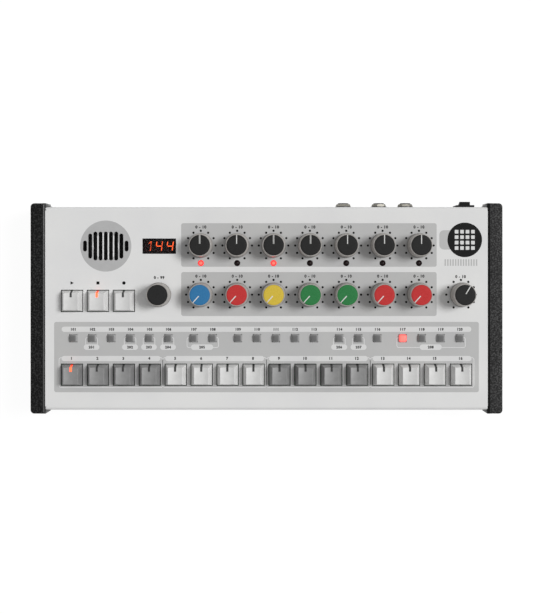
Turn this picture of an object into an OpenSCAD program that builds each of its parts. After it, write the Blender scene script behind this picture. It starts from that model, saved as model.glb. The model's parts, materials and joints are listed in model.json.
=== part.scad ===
// Desktop drum machine: a bent steel case between two end cheeks, sixteen step keys,
// three transport keys, twenty function keys, sixteen knobs, a speaker and a display.
// X runs along the case, Y to the rear, Z up. The origin is on the surface, under the
// middle of the case. Millimetres.

/* [Case] */
// From the middle of the first and last step keys to the ends of the case
end_margin = 23.65; // [21:0.05:30]
// From the front edge to the row of step keys
front_margin = 31.15; // [27:0.05:45]
// From the upper row of knobs to the rear edge
rear_margin = 34.05; // [31:0.05:50]
// Height of the control panel above the surface
panel_z = 50; // [48:0.5:60]
// Thickness of the steel sheet
sheet = 1.6; // [1.2:0.1:2.4]
// Outer radius of the bends along the front and rear
bend_r = 3; // [2.6:0.1:5]
// Width of the flanges that the base screws to
flange_w = 12; // [10:0.5:16]

/* [Cheeks and feet] */
// Thickness of an end cheek
cheek_t = 13.3; // [8:0.1:20]
// How far the cheeks reach past the front and rear of the case
cheek_over = 3.4; // [1:0.1:10]
// How far the cheeks stand above the panel
cheek_up = 0.5; // [0:0.5:10]
// Corner radius of a cheek
cheek_r = 2; // [1:0.5:8]
// Height of the rubber feet
foot_h = 4; // [3:0.5:8]
// Radius of a rubber foot
foot_r = 8; // [6:0.5:12]

/* [Rows] */
// From the step keys to the function keys
function_gap_y = 32.2; // [30:0.1:38]
// From the function keys to the lower row of knobs
tone_gap_y = 38.4; // [36:0.1:46]
// From the lower row of knobs to the upper row
level_gap_y = 43.3; // [40:0.1:52]
// From the transport keys to the lower row of knobs
transport_drop = 5.5; // [0:0.5:8]
// From the lamps to the upper row of knobs
lamp_drop = 15.5; // [14.5:0.1:18]

/* [Keys] */
// Distance from one step key to the next
key_pitch = 22.86; // [22.4:0.01:25]
// Width of a key cap at its foot
cap_w = 18.2; // [17:0.1:18.5]
// Width of the face of a key cap
face_w = 12.9; // [12:0.1:15]
// Depth of the face of a key cap, front to rear
face_d = 14.5; // [13:0.1:16]
// How far a key cap stands above the panel
key_rise = 8.4; // [7.5:0.1:11]
// Depth of the dish in the face of a key cap
dish = 0.9; // [0.3:0.1:1.4]
// Travel of a step or transport key
key_travel = 3.5; // [2:0.1:3.5]
// Distance from one function key to the next
function_pitch = 16.76; // [15.5:0.02:17.5]
// Distance between the end keys of two neighbouring function groups
group_gap = 22.3; // [20:0.1:26]
// How far a function key stands above the panel
function_rise = 3; // [1.5:0.1:5]
// Travel of a function key
function_travel = 0.6; // [0.3:0.1:0.8]

/* [Knobs] */
// Distance from one knob to the next
knob_pitch = 32.05; // [28:0.05:33]
// Middle of the first column of knobs, right of the middle of the case
knob_first_x = -57.9; // [-62:0.1:-52]
// Middle of the data knob and the display
data_x = -94.7; // [-97:0.1:-93]
// Radius of the foot of a knob
knob_r = 10.75; // [10:0.05:12]
// Radius of the coloured cap of a knob
knob_cap_r = 8.75; // [7.5:0.05:9]
// Height of a knob, from its foot to its cap
knob_h = 17.5; // [15:0.5:22]
// Angle of the lower stop of a knob, from twelve o'clock
knob_stop = 138.4; // [120:0.1:150]
// Angle of the volume knob at rest
volume_at = 30.8; // [-120:0.1:120]

/* [Display and speaker] */
// Width of the display window
window_w = 29.2; // [26:0.1:31]
// Depth of the display window, front to rear
window_d = 13.4; // [10:0.1:16]
// Middle of the speaker, right of the middle of the case
speaker_x = -141.7; // [-144:0.1:-140]
// Radius of the speaker frame
speaker_r = 25; // [23.5:0.5:26]
// Distance between the slots of the grille
slot_pitch = 4.58; // [4.2:0.02:4.8]
// Width of a slot of the grille
slot_w = 3; // [2:0.1:3.2]

/* [Rear] */
// Height of the sockets above the surface
socket_z = 26; // [24:0.5:27]
// Middle of the jack nearest the middle of the case
jack_x = 69; // [66:0.5:70]
// Radius of the bore of a jack
jack_bore_r = 3.25; // [3.2:0.01:3.4]
// From the right end of the case to the middle of the power switch
rocker_in = 17.6; // [12:0.1:22]
// Swing of the power switch
rocker_swing = 24; // [14:1:24]

/* [Hidden] */
step_count = 16;
knob_count = 7;
transport_count = 3;
group_sizes = [6, 2, 5, 3, 4];
$fn = 48;
eps = 0.5;

// Colours
panel_white = [0.85, 0.85, 0.84];
cheek_black = [0.11, 0.11, 0.11];
key_grey = [0.52, 0.52, 0.52];
key_light = [0.82, 0.82, 0.81];
cap_black = [0.12, 0.12, 0.12];
blue = [0.2, 0.47, 0.68];
red = [0.77, 0.22, 0.22];
yellow = [0.84, 0.72, 0.26];
green = [0.19, 0.5, 0.29];
tone_colours = [blue, red, yellow, green, green, red, red];
part_black = [0.08, 0.08, 0.08];
steel = [0.75, 0.75, 0.75];
board_green = [0.1, 0.3, 0.16];

// Case
case_w = (step_count - 1) * key_pitch + 2 * end_margin;
case_d = front_margin + function_gap_y + tone_gap_y + level_gap_y + rear_margin;
tray_t = 1.2;
tray_top = foot_h + tray_t;
under = panel_z - sheet;
inner_d = case_d - 2 * sheet;
end_r = 1.4;
corner_r = 1.5;
inner_edge_r = 2;
gusset_w = 4.8;
gusset_drop = 2;
tray_side_gap = 3;
tray_side_top = under - tray_side_gap;
flange_end_gap = 3;
tray_end_gap = 1;

// Rows
volume_off = 0.9;
window_off = 0.45;
step_y = front_margin - case_d / 2;
function_y = step_y + function_gap_y;
tone_y = function_y + tone_gap_y;
level_y = tone_y + level_gap_y;
transport_y = tone_y - transport_drop;
lamp_y = level_y - lamp_drop;
window_y = level_y - window_off;
first_key_x = -(step_count - 1) * key_pitch / 2;
row_end_x = -first_key_x;
volume_x = row_end_x + volume_off;
knob_row_mid = knob_first_x + (knob_count - 1) / 2 * knob_pitch;

// Key cap and its switch
cap_drop = 3;
cap_foot = panel_z - cap_drop;
cap_top = panel_z + key_rise;
face_shift = -0.5;
dish_edge = 0.3;
cap_wall = 1.6;
cavity_in = 0.25;
cavity_step = 0.8;
cavity_over = 0.5;
low_cavity_top = panel_z + cavity_over;
cap_roof = 4.4;
cap_gap = 0.7;
cap_straight = 0.3;
slope_foot = panel_z + cap_straight;
cap_corner = 0.8;
cut_out = cap_w + 2 * cap_gap;
board_drop = 14;
board_top = panel_z - board_drop;
board_t = 1.6;
stem_r = 2.75;
stem_gap = 0.08;
switch_w = 14;
switch_h = 6;
collar_w = 12.4;
collar_drop = 0.5;
collar_top = cap_foot - collar_drop;
stem_in = 4;
stem_foot = collar_top - stem_in;
stem_spare = 0.5;
pipe_w = 2.4;
pipe_on_face = 3.5;
pipe_deep = 1;

// Function keys
function_w = 6.9;
function_face = 5.4;
function_straight = 0.3;
function_hole = 7.2;
web_t = 1;
plunger_r = 2;
web_half = 5;
tact_w = 6;
tact_body_h = 3.5;
tact_stem_r = 1.75;
tact_h = 5.3;
tact_top = board_top + tact_h;
tact_spare = 0.1;
plunger_foot = tact_top + function_travel + tact_spare;

// Knob and potentiometer
knob_gap = 1;
knob_foot = panel_z + knob_gap;
knob_top = knob_foot + knob_h;
base_step = 1.5;
base_in = 0.4;
knob_round = 0.4;
rim_w = 0.7;
inlay_h = 0.3;
inlay_gap = 0.2;
pointer_w = 1.1;
pointer_from = 1;
skirt_cavity_r = 8.2;
cavity_h = 9;
cavity_top = knob_foot + cavity_h;
boss_r = 4.6;
boss_in = 2.2;
boss_foot = knob_foot + boss_in;
bushing_r = 3.5;
bushing_gap = 0.1;
bushing_rise = 2.5;
bushing_top = panel_z + bushing_rise;
shaft_r = 3;
shaft_gap = 0.08;
pot_w = 9.8;
pot_d = 11.5;
pot_h = 7;
pot_nut_r = 5.1;
pot_nut_h = 2;
shaft_lift = 2;
shaft_foot = board_top + shaft_lift;

// Display, lamps and speaker
lamp_r = 2.5;
lamp_hole_r = 2.7;
window_drop = 0.4;
window_top = panel_z - window_drop;
window_gap = 0.1;
window_rim = 1.4;
window_rim_t = 1.1;
window_foot = under - window_rim_t;
module_over = 0.4;
digit_pitch = 9.2;
digit_w = 5.2;
digit_h = 8;
digit_slant = 10;
bar_w = 1;
bar_gap = 0.1;
bar_depth = 0.3;
lamp_dome_r = lamp_r + 0.1;
lamp_rise = 0.4;
lamp_dome_z = panel_z + lamp_rise - lamp_dome_r;
lamp_drop_in = 6;
lamp_foot = under - lamp_drop_in;
lamp_flange_r = lamp_r + 0.4;
lamp_flange_h = 1;
lead_step = 2.54;
lead_w = 0.5;
long_slot = 25;
slot_lengths = [9.1, 21.6, long_slot, long_slot, long_slot, long_slot, long_slot, 21.6, 9.1];
speaker_h = 24.4;
speaker_foot = under - speaker_h;
magnet_r = 15;
magnet_h = 9;
magnet_chamfer = 1;
neck_r = 11;
neck_h = 2;
frame_w = 3;
frame_h = 2.2;
gasket_w = 2;
surround_w = 2;
surround_h = 1.6;
cone_depth = 8;
dust_cap_r = 6;
dust_cap_h = 1;
coil_rise = 1.4;

// Rear sockets, all measured from the inside and the outside of the rear wall
wall_in = case_d / 2 - sheet;
wall_out = case_d / 2;
jack_step = 32.05;
jack_close = 23.8;
jack_spots = [jack_x, jack_x + jack_step, jack_x + jack_step + jack_close];
jack_thread_r = 4.7;
jack_reach = 4.4;
jack_bore_depth = 32;
jack_w = 15;
jack_h = 14;
jack_depth = 28;
nut_r = 6.6;
nut_top = 3.6;
nut_face_r = 5.8;
nut_turns = [12, -14, 0];
washer_r = 7.3;
washer_face_r = 6.9;
washer_t = 0.7;
midi_spots = [-32, -4];
midi_r = 7.6;
midi_w = 19;
midi_h = 16.6;
midi_depth = 14;
midi_shell = 0.8;
midi_groove = 1;
midi_ring_depth = 6;
midi_pin_r = 0.8;
midi_pins_at = 3.75;
usb_x = 34;
usb_w = 9;
usb_h = 3.4;
usb_gap = 0.1;
usb_wall = 0.35;
usb_depth = 6;
usb_hole_depth = 4.5;
usb_tongue_w = 6.6;
usb_tongue_h = 0.7;
usb_plate_w = 20;
usb_plate_h = 10;
usb_plate_t = 1.5;
rocker_x = case_w / 2 - rocker_in;
inlet_gap = 26.5;
inlet_x = rocker_x - inlet_gap;
inlet_r = 3.9;
inlet_w = 9;
inlet_h = 11;
inlet_depth = 12;
inlet_wall = 0.9;
inlet_hole_depth = 8;
inlet_pin_r = 1;
flush = 0.4;
rocker_w = 9.4;
rocker_half_h = 7.5;
rocker_wall_w = 13;
rocker_wall_h = 19;
rocker_depth = 12;
rocker_pocket = 7;
rocker_gap = 0.3;
rocker_end_gap = 0.8;
rocker_flange_w = 16;
rocker_flange_h = 21.4;
rocker_flange_t = 2.3;
rocker_sink = 0.2;
rocker_pivot_y = wall_out - rocker_sink;
rocker_in_y = 4;
rocker_out_y = 4.2;
rocker_waist_y = 3.1;
rocker_side_y = 0.5;
rocker_tail = 4;
trunnion_r = 1;
trunnion_reach = 0.9;
trunnion_gap = 0.06;
trunnion_play = 0.2;

// Board outline, its posts and the screws
board_margin = 14.5;
post_margin = 11.5;
board_front = step_y - board_margin;
board_rear = level_y + 10.5;
board_notch_x = data_x - window_w / 2 - 2.6;
board_notch_y = tone_y + 9.8;
board_half_w = row_end_x + board_margin;
post_x = row_end_x + post_margin;
post_front_y = (step_y + function_y) / 2 + 2.8;
post_mid_y = (tone_y + level_y) / 2;
post_spots = [[-post_x, post_front_y], [-post_x / 3, post_front_y], [post_x / 3, post_front_y],
              [post_x, post_front_y], [-post_x, transport_y + 10.3],
              [(data_x + knob_first_x) / 2, post_mid_y], [knob_row_mid + knob_pitch / 2, post_mid_y],
              [post_x, post_mid_y]];
post_r = 2.75;
chip_h = 2.2;
// Each chip under the board: the places of its middle in X and Y, its width and its depth
chips = [[key_x(2.3), function_y + 6, 22, 22], [key_x(4.4), function_y + 6, 12, 20],
         [key_x(8.8), function_y + 6, 24, 24], [key_x(11.9), function_y + 6, 14, 10],
         [column_x(6), tone_y + 14, 10, 14], [column_x(1), tone_y + 14, 18, 9]];
capacitor_r = 4;
capacitor_h = 9;
capacitor_spots = [for (i = [12.4, 12.9, 13.4]) [key_x(i), tone_y - 16]];
pilot_r = 1.25;
pilot_depth = 8;
post_bite = 6;
screw_r = 1.5;
screw_gap = 0.2;
base_bite = 1.5;
cheek_bite = 6.5;
head_r = 2.8;
head_h = 1.8;
foot_in_x = 25;
foot_in_y = 21;
foot_spots = [for (x = [-1, 1], y = [-1, 1])
    [x * (case_w / 2 - foot_in_x), y * (case_d / 2 - foot_in_y)]];
foot_stem_r = 3;
foot_chamfer = 0.8;
foot_lip = 0.6;
foot_lip_h = 1.5;
base_screw_in = 20;
base_screw_spots = [for (x = [-1, -1 / 3, 1 / 3, 1], s = [-1, 1])
    [x * (case_w / 2 - base_screw_in), s * (inner_d / 2 - flange_w / 2)]];
cheek_screw_in = 15;
cheek_screw_z = (tray_top + tray_side_top) / 2;
cheek_screw_spots = [for (y = [-1, 0, 1]) [y * (inner_d / 2 - cheek_screw_in), cheek_screw_z]];

// Middle of step key i, counted from 0
function key_x(i) = first_key_x + i * key_pitch;

// Middle of knob column i, counted from 0
function column_x(i) = knob_first_x + i * knob_pitch;

// Keys in all the groups before group g
function keys_before(g) = g == 0 ? 0 : group_sizes[g - 1] + keys_before(g - 1);

// Middle of the first function key of group g
function group_x(g) = -function_span() / 2 + (keys_before(g) - g) * function_pitch + g * group_gap;

// From the first function key to the last
function function_span() =
    (keys_before(len(group_sizes)) - len(group_sizes)) * function_pitch
    + (len(group_sizes) - 1) * group_gap;

// Middles of all twenty function keys
function_spots = [for (g = [0:len(group_sizes) - 1], i = [0:group_sizes[g] - 1])
    group_x(g) + i * function_pitch];

// Middles of every step and transport key
key_spots = concat([for (i = [0:step_count - 1]) [key_x(i), step_y]],
                   [for (i = [0:transport_count - 1]) [key_x(i), transport_y]]);

// Middles of every potentiometer
knob_spots = concat([for (i = [0:knob_count - 1]) [column_x(i), level_y]],
                    [for (i = [0:knob_count - 1]) [column_x(i), tone_y]],
                    [[volume_x, tone_y], [data_x, tone_y]]);

// ---- Shared shapes ----

// Copies the children to each spot of a list
module at(spots) {
    for (p = spots) translate([p[0], p[1], 0]) children();
}

// A rod along Y from y0 to y1
module rod_y(r, x, z, y0, y1) {
    translate([x, y1, z]) rotate([90, 0, 0]) cylinder(r = r, h = y1 - y0);
}

// A box from one corner to the other
module box(low, high) {
    translate(low) cube(high - low);
}

// A box of the rear, of width w and height h about the sockets' line, from y0 to y1
module rear_box(x, w, h, y0, y1) {
    box([x - w / 2, y0, socket_z - h / 2], [x + w / 2, y1, socket_z + h / 2]);
}

// Section of a bent sheet: square at the foot, rounded at the top corners
module bent_outline(w, h, r) {
    translate([-w / 2, 0]) square([w, h - r]);
    translate([-w / 2 + r, 0]) square([w - 2 * r, h]);
    for (s = [-1, 1]) translate([s * (w / 2 - r), h - r]) circle(r);
}

// Rectangle with round corners, from one corner to the other
module round_rect(low, high, r) {
    translate([low[0] + r, low[1]]) square([high[0] - low[0] - 2 * r, high[1] - low[1]]);
    translate([low[0], low[1] + r]) square([high[0] - low[0], high[1] - low[1] - 2 * r]);
    for (x = [low[0] + r, high[0] - r], y = [low[1] + r, high[1] - r]) translate([x, y]) circle(r);
}

// Turns a section drawn in Y and Z into a bar along X
module bar_x(x0, x1) {
    translate([x0, 0, 0]) rotate([90, 0, 90]) linear_extrude(x1 - x0) children();
}

// Turns a section drawn in X and Z into a bar along Y
module bar_y(y0, y1) {
    translate([0, y1, 0]) rotate([90, 0, 0]) linear_extrude(y1 - y0) children();
}

// A block that narrows upwards: foot and face are [width, depth], shift moves the face in Y
module taper(foot, face, z0, z1, shift = 0) {
    intersection() {
        bar_y(-foot[1], foot[1])
            polygon([[-foot[0] / 2, z0], [foot[0] / 2, z0], [face[0] / 2, z1], [-face[0] / 2, z1]]);
        bar_x(-foot[0], foot[0])
            polygon([[-foot[1] / 2, z0], [foot[1] / 2, z0],
                     [face[1] / 2 + shift, z1], [-face[1] / 2 + shift, z1]]);
    }
}

// ---- Case ----

// Outline of the case from above
module case_plan() {
    round_rect([-case_w / 2, -case_d / 2], [case_w / 2, case_d / 2], corner_r);
}

// Speaker slots, as cutters
module grille() {
    middle = (len(slot_lengths) - 1) / 2;
    for (i = [0:len(slot_lengths) - 1]) {
        half = (slot_lengths[i] - slot_w) / 2;
        translate([speaker_x + (i - middle) * slot_pitch, window_y, under - eps])
            linear_extrude(sheet + 2 * eps) {
                square([slot_w, 2 * half], center = true);
                for (s = [-1, 1]) translate([0, s * half]) circle(slot_w / 2);
            }
    }
}

// Openings of the control surface, as cutters
module panel_cutters() {
    z0 = under - eps;
    h = sheet + 2 * eps;
    at(key_spots) translate([-cut_out / 2, -cut_out / 2, z0]) cube([cut_out, cut_out, h]);
    for (x = function_spots)
        translate([x - function_hole / 2, function_y - function_hole / 2, z0])
            cube([function_hole, function_hole, h]);
    at(knob_spots) translate([0, 0, z0]) cylinder(r = bushing_r + bushing_gap, h = h);
    for (i = [0:knob_count - 1])
        translate([column_x(i), lamp_y, z0]) cylinder(r = lamp_hole_r, h = h);
    translate([data_x - window_w / 2, window_y - window_d / 2, z0]) cube([window_w, window_d, h]);
    grille();
}

// Openings of the rear wall, as cutters
module rear_cutters() {
    y0 = wall_in - eps;
    y1 = wall_out + eps;
    for (x = jack_spots) rod_y(jack_thread_r, x, socket_z, y0, y1);
    for (x = midi_spots) rod_y(midi_r, x, socket_z, y0, y1);
    rod_y(inlet_r, inlet_x, socket_z, y0, y1);
    rear_box(usb_x, usb_w + 2 * usb_gap, usb_h + 2 * usb_gap, y0, y1);
    rear_box(rocker_x, rocker_wall_w, rocker_wall_h, y0, y1);
}

// One sheet bent down at the front and rear, with flanges turned in at its foot
module top_panel() color(panel_white) difference() {
    union() {
        translate([0, 0, tray_top]) difference() {
            intersection() {
                bar_x(-case_w / 2, case_w / 2) bent_outline(case_d, panel_z - tray_top, bend_r);
                bar_y(-case_d / 2, case_d / 2) bent_outline(case_w, panel_z - tray_top, end_r);
                linear_extrude(panel_z - tray_top) case_plan();
            }
            translate([0, 0, -1]) bar_x(-case_w / 2 - 1, case_w / 2 + 1)
                bent_outline(inner_d, under - tray_top + 1, bend_r - sheet);
        }
        for (s = [-1, 1]) {
            y_out = s * (inner_d / 2 + sheet / 2);
            y_in = s * (inner_d / 2 - flange_w);
            box([-case_w / 2 + flange_end_gap, min(y_out, y_in), tray_top],
                [case_w / 2 - flange_end_gap, max(y_out, y_in), tray_top + sheet]);
        }
        at(post_spots) translate([0, 0, board_top]) cylinder(r = post_r, h = under - board_top + eps);
    }
    panel_cutters();
    rear_cutters();
    at(post_spots) translate([0, 0, board_top - 1]) cylinder(r = pilot_r, h = pilot_depth + 1);
    at(base_screw_spots) translate([0, 0, tray_top - 1]) cylinder(r = screw_r, h = sheet + 2);
}

// Flat base with a flange up each end, where the cheeks screw on
module base_tray() color(panel_white) difference() {
    union() {
        translate([0, 0, foot_h]) linear_extrude(tray_t) case_plan();
        for (s = [-1, 1])
            box([min(s * case_w / 2, s * (case_w / 2 - tray_t)), -inner_d / 2 + tray_end_gap,
                 foot_h + tray_t / 2],
                [max(s * case_w / 2, s * (case_w / 2 - tray_t)), inner_d / 2 - tray_end_gap,
                 tray_side_top]);
    }
    at(base_screw_spots)
        translate([0, 0, foot_h - 1]) cylinder(r = screw_r + screw_gap, h = tray_t + 2);
    at(foot_spots) translate([0, 0, foot_h - 1]) cylinder(r = foot_stem_r, h = tray_t + 2);
    for (p = cheek_screw_spots)
        translate([-case_w / 2 - 1, p[0], p[1]]) rotate([0, 90, 0])
            cylinder(r = screw_r + screw_gap, h = case_w + 2);
}

// One end cheek, s = -1 at the left and 1 at the right, with a gusset at the front and rear
// that fills the corner between the cheek and the wall of the case
module cheek(s) color(cheek_black) difference() {
    half = case_d / 2 + cheek_over;
    top = panel_z + cheek_up;
    inner = s * case_w / 2;
    low_x = inner - cheek_t;
    high_x = inner + cheek_t;
    near_x = min(inner, inner + 2 * s * cheek_t);
    intersection() {
        bar_x(low_x, high_x) round_rect([-half, foot_h], [half, top], cheek_r);
        union() {
            intersection() {
                bar_y(-half, half) round_rect([low_x, foot_h], [high_x, top], cheek_r);
                bar_y(-half, half) round_rect([near_x, 0], [near_x + 2 * cheek_t, top], inner_edge_r);
                translate([0, 0, foot_h]) linear_extrude(top - foot_h)
                    round_rect([low_x, -half], [high_x, half], cheek_r);
            }
            for (y = [-1, 1]) translate([0, 0, foot_h])
                linear_extrude(panel_z - gusset_drop - foot_h)
                    polygon([[inner - s * gusset_w, y * case_d / 2], [inner, y * half],
                             [inner + s * eps, y * half], [inner + s * eps, y * case_d / 2]]);
        }
    }
    for (p = cheek_screw_spots)
        translate([inner - cheek_bite - eps, p[0], p[1]]) rotate([0, 90, 0])
            cylinder(r = screw_r, h = 2 * (cheek_bite + eps));
}

module left_cheek() cheek(-1);

module right_cheek() cheek(1);

// Four push-in feet: a pad, a stem through the base and a lip above it
module rubber_feet() color(part_black) at(foot_spots)
    rotate_extrude() polygon([
        [0, 0], [foot_r - foot_chamfer, 0], [foot_r, foot_chamfer], [foot_r, foot_h],
        [foot_stem_r, foot_h], [foot_stem_r, tray_top], [foot_stem_r + foot_lip, tray_top],
        [foot_stem_r, tray_top + foot_lip_h], [0, tray_top + foot_lip_h]]);

// A screw along +Z with its head below z = 0
module screw(r, length) {
    translate([0, 0, -head_h]) cylinder(r = head_r, h = head_h);
    translate([0, 0, -head_h / 2]) cylinder(r = r, h = head_h / 2 + length);
}

// Screws of the base, the cheeks and the board
module screws() color(steel) {
    at(base_screw_spots) translate([0, 0, foot_h]) screw(screw_r, tray_t + sheet + base_bite);
    at(post_spots) translate([0, 0, board_top - board_t]) screw(pilot_r, board_t + post_bite);
    for (p = cheek_screw_spots, s = [-1, 1])
        translate([s * (case_w / 2 - tray_t), p[0], p[1]]) rotate([0, s * 90, 0])
            screw(screw_r, tray_t + cheek_bite);
}

// ---- Display, lamps and speaker ----

// Smoked pane with a rim under the panel
module display_window() color(cap_black) translate([data_x, window_y, 0]) {
    box([-window_w / 2 + window_gap, -window_d / 2 + window_gap, window_foot],
        [window_w / 2 - window_gap, window_d / 2 - window_gap, window_top]);
    box([-window_w / 2 - window_rim, -window_d / 2 - window_rim, window_foot],
        [window_w / 2 + window_rim, window_d / 2 + window_rim, under]);
}

// A point of a digit, leaning to the right with its height
function slanted(x, y) = [x + y * tan(digit_slant), y];

// One bar of a digit between two points of its upright form, with pointed ends, as a cutter
module digit_bar(a, b) {
    along = (b - a) / norm(b - a);
    side = [-along[1], along[0]] * bar_w / 2;
    from = a + along * bar_gap;
    to = b - along * bar_gap;
    shape = [from, from + along * bar_w / 2 + side, to - along * bar_w / 2 + side,
             to, to - along * bar_w / 2 - side, from + along * bar_w / 2 - side];
    translate([0, 0, -bar_depth]) linear_extrude(bar_depth + eps)
        polygon([for (p = shape) slanted(p[0], p[1])]);
}

// Three digit block on the board, with seven shallow bars to a digit on its face
module display_module() color(part_black) translate([data_x, window_y, 0]) difference() {
    box([-window_w / 2 - module_over, -window_d / 2 - module_over, board_top],
        [window_w / 2 + module_over, window_d / 2 + module_over, window_foot]);
    for (i = [-1:1]) translate([i * digit_pitch, 0, window_foot]) {
        for (y = [-1:1])
            digit_bar([-digit_w / 2, y * digit_h / 2], [digit_w / 2, y * digit_h / 2]);
        for (x = [-1, 1], y = [-1, 0])
            digit_bar([x * digit_w / 2, y * digit_h / 2], [x * digit_w / 2, (y + 1) * digit_h / 2]);
    }
}

// Seven round lamps, one under each knob of the upper row
module level_lamps() color(red) for (i = [0:knob_count - 1]) translate([column_x(i), lamp_y, 0]) {
    translate([0, 0, lamp_foot]) cylinder(r = lamp_flange_r, h = lamp_flange_h);
    translate([0, 0, lamp_foot + eps]) cylinder(r = lamp_r, h = lamp_dome_z - lamp_foot);
    translate([0, 0, lamp_dome_z]) sphere(lamp_dome_r);
    for (s = [-1, 1]) translate([s * lead_step / 2, 0, board_top])
        box([-lead_w / 2, -lead_w / 2, 0], [lead_w / 2, lead_w / 2, lamp_foot + eps - board_top]);
}

// Speaker glued by its rim under the slots: frame, magnet and cone in one turned shape
module loudspeaker() color(part_black) translate([speaker_x, window_y, 0])
    rotate_extrude() polygon([
        [0, speaker_foot], [magnet_r - magnet_chamfer, speaker_foot],
        [magnet_r, speaker_foot + magnet_chamfer], [magnet_r, speaker_foot + magnet_h],
        [neck_r, speaker_foot + magnet_h], [neck_r, speaker_foot + magnet_h + neck_h],
        [speaker_r - frame_w, under - frame_h], [speaker_r, under - frame_h], [speaker_r, under],
        [speaker_r - gasket_w, under], [speaker_r - gasket_w - surround_w, under - surround_h],
        [dust_cap_r + coil_rise, under - cone_depth],
        [dust_cap_r, under - cone_depth + coil_rise],
        [0, under - cone_depth + coil_rise + dust_cap_h]]);

// ---- Boards and switches ----

// Circuit board with the small switches of the function keys and the larger parts beneath
module control_board() color(board_green) difference() {
    union() {
        box([-board_half_w, board_front, board_top - board_t],
            [board_half_w, board_notch_y, board_top]);
        box([board_notch_x, board_notch_y - 1, board_top - board_t],
            [board_half_w, board_rear, board_top]);
        for (x = function_spots) translate([x, function_y, board_top - eps]) {
            translate([-tact_w / 2, -tact_w / 2, 0]) cube([tact_w, tact_w, eps + tact_body_h]);
            cylinder(r = tact_stem_r, h = tact_top - board_top + eps);
        }
        for (c = chips)
            box([c[0] - c[2] / 2, c[1] - c[3] / 2, board_top - board_t - chip_h],
                [c[0] + c[2] / 2, c[1] + c[3] / 2, board_top - board_t + eps]);
        at(capacitor_spots) translate([0, 0, board_top - board_t - capacitor_h])
            cylinder(r = capacitor_r, h = capacitor_h + eps);
    }
    at(post_spots) translate([0, 0, board_top - board_t - eps])
        cylinder(r = pilot_r + screw_gap, h = board_t + 2 * eps);
}

// Bodies of the fifteen potentiometers and of the data encoder, with their nuts
module potentiometers() color(steel) at(knob_spots) difference() {
    union() {
        translate([-pot_w / 2, -pot_d / 2, board_top]) cube([pot_w, pot_d, pot_h]);
        translate([0, 0, board_top + pot_h - eps])
            cylinder(r = bushing_r, h = bushing_top - board_top - pot_h + eps);
        translate([0, 0, panel_z]) cylinder(r = pot_nut_r, h = pot_nut_h, $fn = 6);
    }
    translate([0, 0, shaft_foot]) cylinder(r = shaft_r + shaft_gap, h = panel_z);
}

// Bodies of the nineteen key switches
module key_switches() color(part_black) at(key_spots) difference() {
    union() {
        translate([-switch_w / 2, -switch_w / 2, board_top]) cube([switch_w, switch_w, switch_h]);
        translate([-collar_w / 2, -collar_w / 2, board_top + switch_h - eps])
            cube([collar_w, collar_w, collar_top - board_top - switch_h + eps]);
    }
    translate([0, 0, stem_foot - key_travel - stem_spare])
        cylinder(r = stem_r + stem_gap, h = panel_z);
}

// ---- Rear ----

// Three jack sockets for 6.35 mm plugs, their threads out through the rear wall
module jack_sockets() color(part_black) for (x = jack_spots) difference() {
    union() {
        rear_box(x, jack_w, jack_h, wall_in - jack_depth, wall_in);
        rod_y(jack_thread_r, x, socket_z, wall_in - eps, wall_out + jack_reach);
    }
    rod_y(jack_bore_r, x, socket_z, wall_out + jack_reach - jack_bore_depth,
          wall_out + jack_reach + eps);
}

// A washer and a six-sided nut on each jack
module jack_nuts() color(steel) for (i = [0:len(jack_spots) - 1])
    translate([jack_spots[i], wall_out, socket_z]) rotate([-90, 0, 0]) difference() {
        union() {
            cylinder(r1 = washer_r, r2 = washer_face_r, h = washer_t);
            intersection() {
                rotate([0, 0, -nut_turns[i]]) cylinder(r = nut_r, h = nut_top, $fn = 6);
                cylinder(r1 = nut_face_r + nut_top, r2 = nut_face_r, h = nut_top);
            }
        }
        translate([0, 0, -eps]) cylinder(r = jack_thread_r, h = nut_top + 2 * eps);
    }

// Two five-pin sockets, flush with the rear wall
module midi_sockets() color(part_black) for (x = midi_spots) difference() {
    union() {
        rear_box(x, midi_w, midi_h, wall_in - midi_depth, wall_in);
        rod_y(midi_r, x, socket_z, wall_in - eps, wall_out + flush);
    }
    difference() {
        rod_y(midi_r - midi_shell, x, socket_z, wall_in - midi_ring_depth, wall_out + 1);
        rod_y(midi_r - midi_shell - midi_groove, x, socket_z, wall_in - midi_ring_depth - eps,
              wall_out - flush);
    }
    for (a = [-90:45:90])
        rod_y(midi_pin_r, x + midi_pins_at * sin(a), socket_z - midi_pins_at * cos(a),
              wall_in - midi_ring_depth - 1, wall_out + 1);
}

// Small data socket with its tongue, on a plate behind the wall
module usb_port() color(steel) difference() {
    union() {
        rear_box(usb_x, usb_w, usb_h, wall_in - usb_depth, wall_out + flush / 2);
        rear_box(usb_x, usb_plate_w, usb_plate_h, wall_in - usb_plate_t, wall_in);
    }
    difference() {
        rear_box(usb_x, usb_w - 2 * usb_wall, usb_h - 2 * usb_wall, wall_in - usb_hole_depth,
                 wall_out + 1);
        rear_box(usb_x, usb_tongue_w, usb_tongue_h, wall_in - usb_hole_depth - eps,
                 wall_out - 2 * flush);
    }
}

// Round power socket with a centre pin
module power_inlet() color(part_black) difference() {
    union() {
        rear_box(inlet_x, inlet_w, inlet_h, wall_in - inlet_depth, wall_in);
        rod_y(inlet_r, inlet_x, socket_z, wall_in - eps, wall_out + flush);
    }
    difference() {
        rod_y(inlet_r - inlet_wall, inlet_x, socket_z, wall_in - inlet_hole_depth, wall_out + 1);
        rod_y(inlet_pin_r, inlet_x, socket_z, wall_in - inlet_hole_depth - 1, wall_out - 1);
    }
}

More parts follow.
